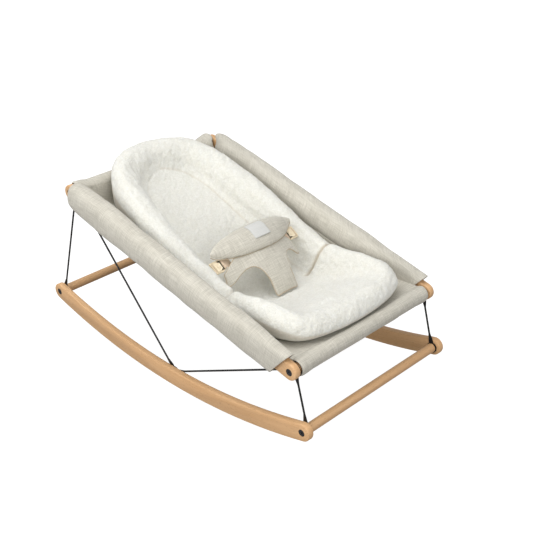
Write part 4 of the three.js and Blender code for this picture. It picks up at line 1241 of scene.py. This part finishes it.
# %% Straps
BUCKLE_X, BUCKLE_S, BUCKLE_N = 0.595 * SLING_HALF, 0.458 * RAIL_MM, -6.0
buckle_away = math.hypot(BUCKLE_S - HINGE_S, BUCKLE_N - HINGE_N)
WIDE_S, WIDE_N = (BUCKLE_S - HINGE_S) / buckle_away, (BUCKLE_N - HINGE_N) / buckle_away
STRAP_HALF = 10.0
BELT_PATH = [
    (-36, -1.4), (-30, 0.5), (-22, 3.0), (-15, 4.4), (-12.2, 4.3), (-11.8, 2.6), (-12.0, 0.6),
]
SIDE_PATH = [(11.9, 2.2), (11.9, -8), (11.9, -22), (11.9, -40)]


def buckle(side, outwards, wide, high):
    """A point of the buckle: outwards from its middle, along its width, and out of its face."""
    s = BUCKLE_S + WIDE_S * wide - WIDE_N * high
    n = BUCKLE_N + WIDE_N * wide + WIDE_S * high
    return seat(side * (BUCKLE_X + outwards), s, n)


def strap(name, body, path, side, node_name):
    """A strip of webbing along a path of (outwards, high) points."""
    path = along_path(path, 40)
    wide = np.linspace(-STRAP_HALF, STRAP_HALF, 13)[None, :]
    points = buckle(side, path[:, :1], wide, path[:, 1:])
    piece = cloth_grid(name, points, flip=side > 0)
    piece.data.materials.append(webbing)
    modifier(piece, "SOLIDIFY", "tape", thickness=0.0014, offset=0.0)
    modifier(piece, "BEVEL", "edge", width=0.0004, segments=2, limit_method="ANGLE")
    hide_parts(node_name)
    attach(piece, body)
    return piece


for side, sign in SIDES.items():
    strap(f"belt_strap_tape_{side}", HARNESS, BELT_PATH, sign, f"belt_strap_{side}")
    strap(f"side_strap_tape_{side}", SEAT, SIDE_PATH, sign, f"side_strap_{side}")
print("straps")

# %% [markdown]
# The seat stands on a white paper floor that shows almost no shadow, as in a catalogue.
# The paper glows evenly where the camera sees it, and for every other ray it is a dull
# grey, so that it doesn't light the seat from below.

# %% Floor
FLOOR_GAP = 0.0005
bpy.ops.mesh.primitive_plane_add(size=30)
floor = bpy.context.object
floor.name = "floor"
floor.location.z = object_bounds()[0].z - FLOOR_GAP
floor_finish, tree, shader = new_finish(
    "floor paper", Roughness=0.9, Specular_IOR_Level=0.1, Emission_Strength=0.93
)
place = node(tree, "ShaderNodeTexCoord").outputs["Object"]
paper = blend_colours(tree, noise_of(tree, place, 3.0), (0.30, 0.30, 0.30), (0.32, 0.32, 0.32))
grey = node(tree, "ShaderNodeBsdfDiffuse", {"Color": paper}).outputs[0]
shader.inputs["Base Color"].default_value = (0.25, 0.25, 0.25, 1)
shader.inputs["Emission Color"].default_value = (1, 1, 1, 1)
seen = node(tree, "ShaderNodeLightPath").outputs["Is Camera Ray"]
both = node(tree, "ShaderNodeMixShader", {0: seen, 1: grey, 2: shader.outputs[0]}).outputs[0]
tree.links.new(both, tree.nodes["Material Output"].inputs["Surface"])
floor.data.materials.append(floor_finish)
print("floor at", round(floor.location.z / MM, 2), "mm")

# %% [markdown]
# One broad soft light hangs above, weaker ones stand at the sitter's right and beyond the
# foot end, and a bright surround fills the rest.

# %% Lights and camera
SEAT_MIDDLE = Vector((0, 0, 0.2))


def area_light(name, place, size, power):
    """A square light that points at the middle of the seat."""
    data = bpy.data.lights.new(name, "AREA")
    data.shape = "SQUARE"
    data.size = size
    data.energy = power
    made = bpy.data.objects.new(name, data)
    made.location = place
    made.rotation_euler = (SEAT_MIDDLE - Vector(place)).to_track_quat("-Z", "Y").to_euler()
    bpy.context.scene.collection.objects.link(made)


area_light("sky panel", (-0.5, 0.1, 2.6), 2.2, 38)
area_light("side panel", (-2.5, 0.1, 1.35), 1.6, 32)
area_light("front panel", (-1.0, -2.6, 1.5), 1.8, 27)
world = bpy.data.worlds.new("surround")
bpy.context.scene.world = world
world.use_nodes = True
surround = world.node_tree.nodes["Background"]
surround.inputs["Color"].default_value = (1, 1, 1, 1)
surround.inputs["Strength"].default_value = 0.45
bpy.context.scene.view_settings.view_transform = "Standard"

camera = bpy.data.objects.new("camera", bpy.data.cameras.new("camera"))
camera.data.lens = 68.507
camera.data.sensor_width = 36.0
camera.location = (-1.37465, -1.42293, 1.27452)
camera.rotation_euler = (math.radians(61.55), math.radians(0.02), math.radians(-45.79))
bpy.context.scene.collection.objects.link(camera)
bpy.context.scene.camera = camera
print("stage ready")
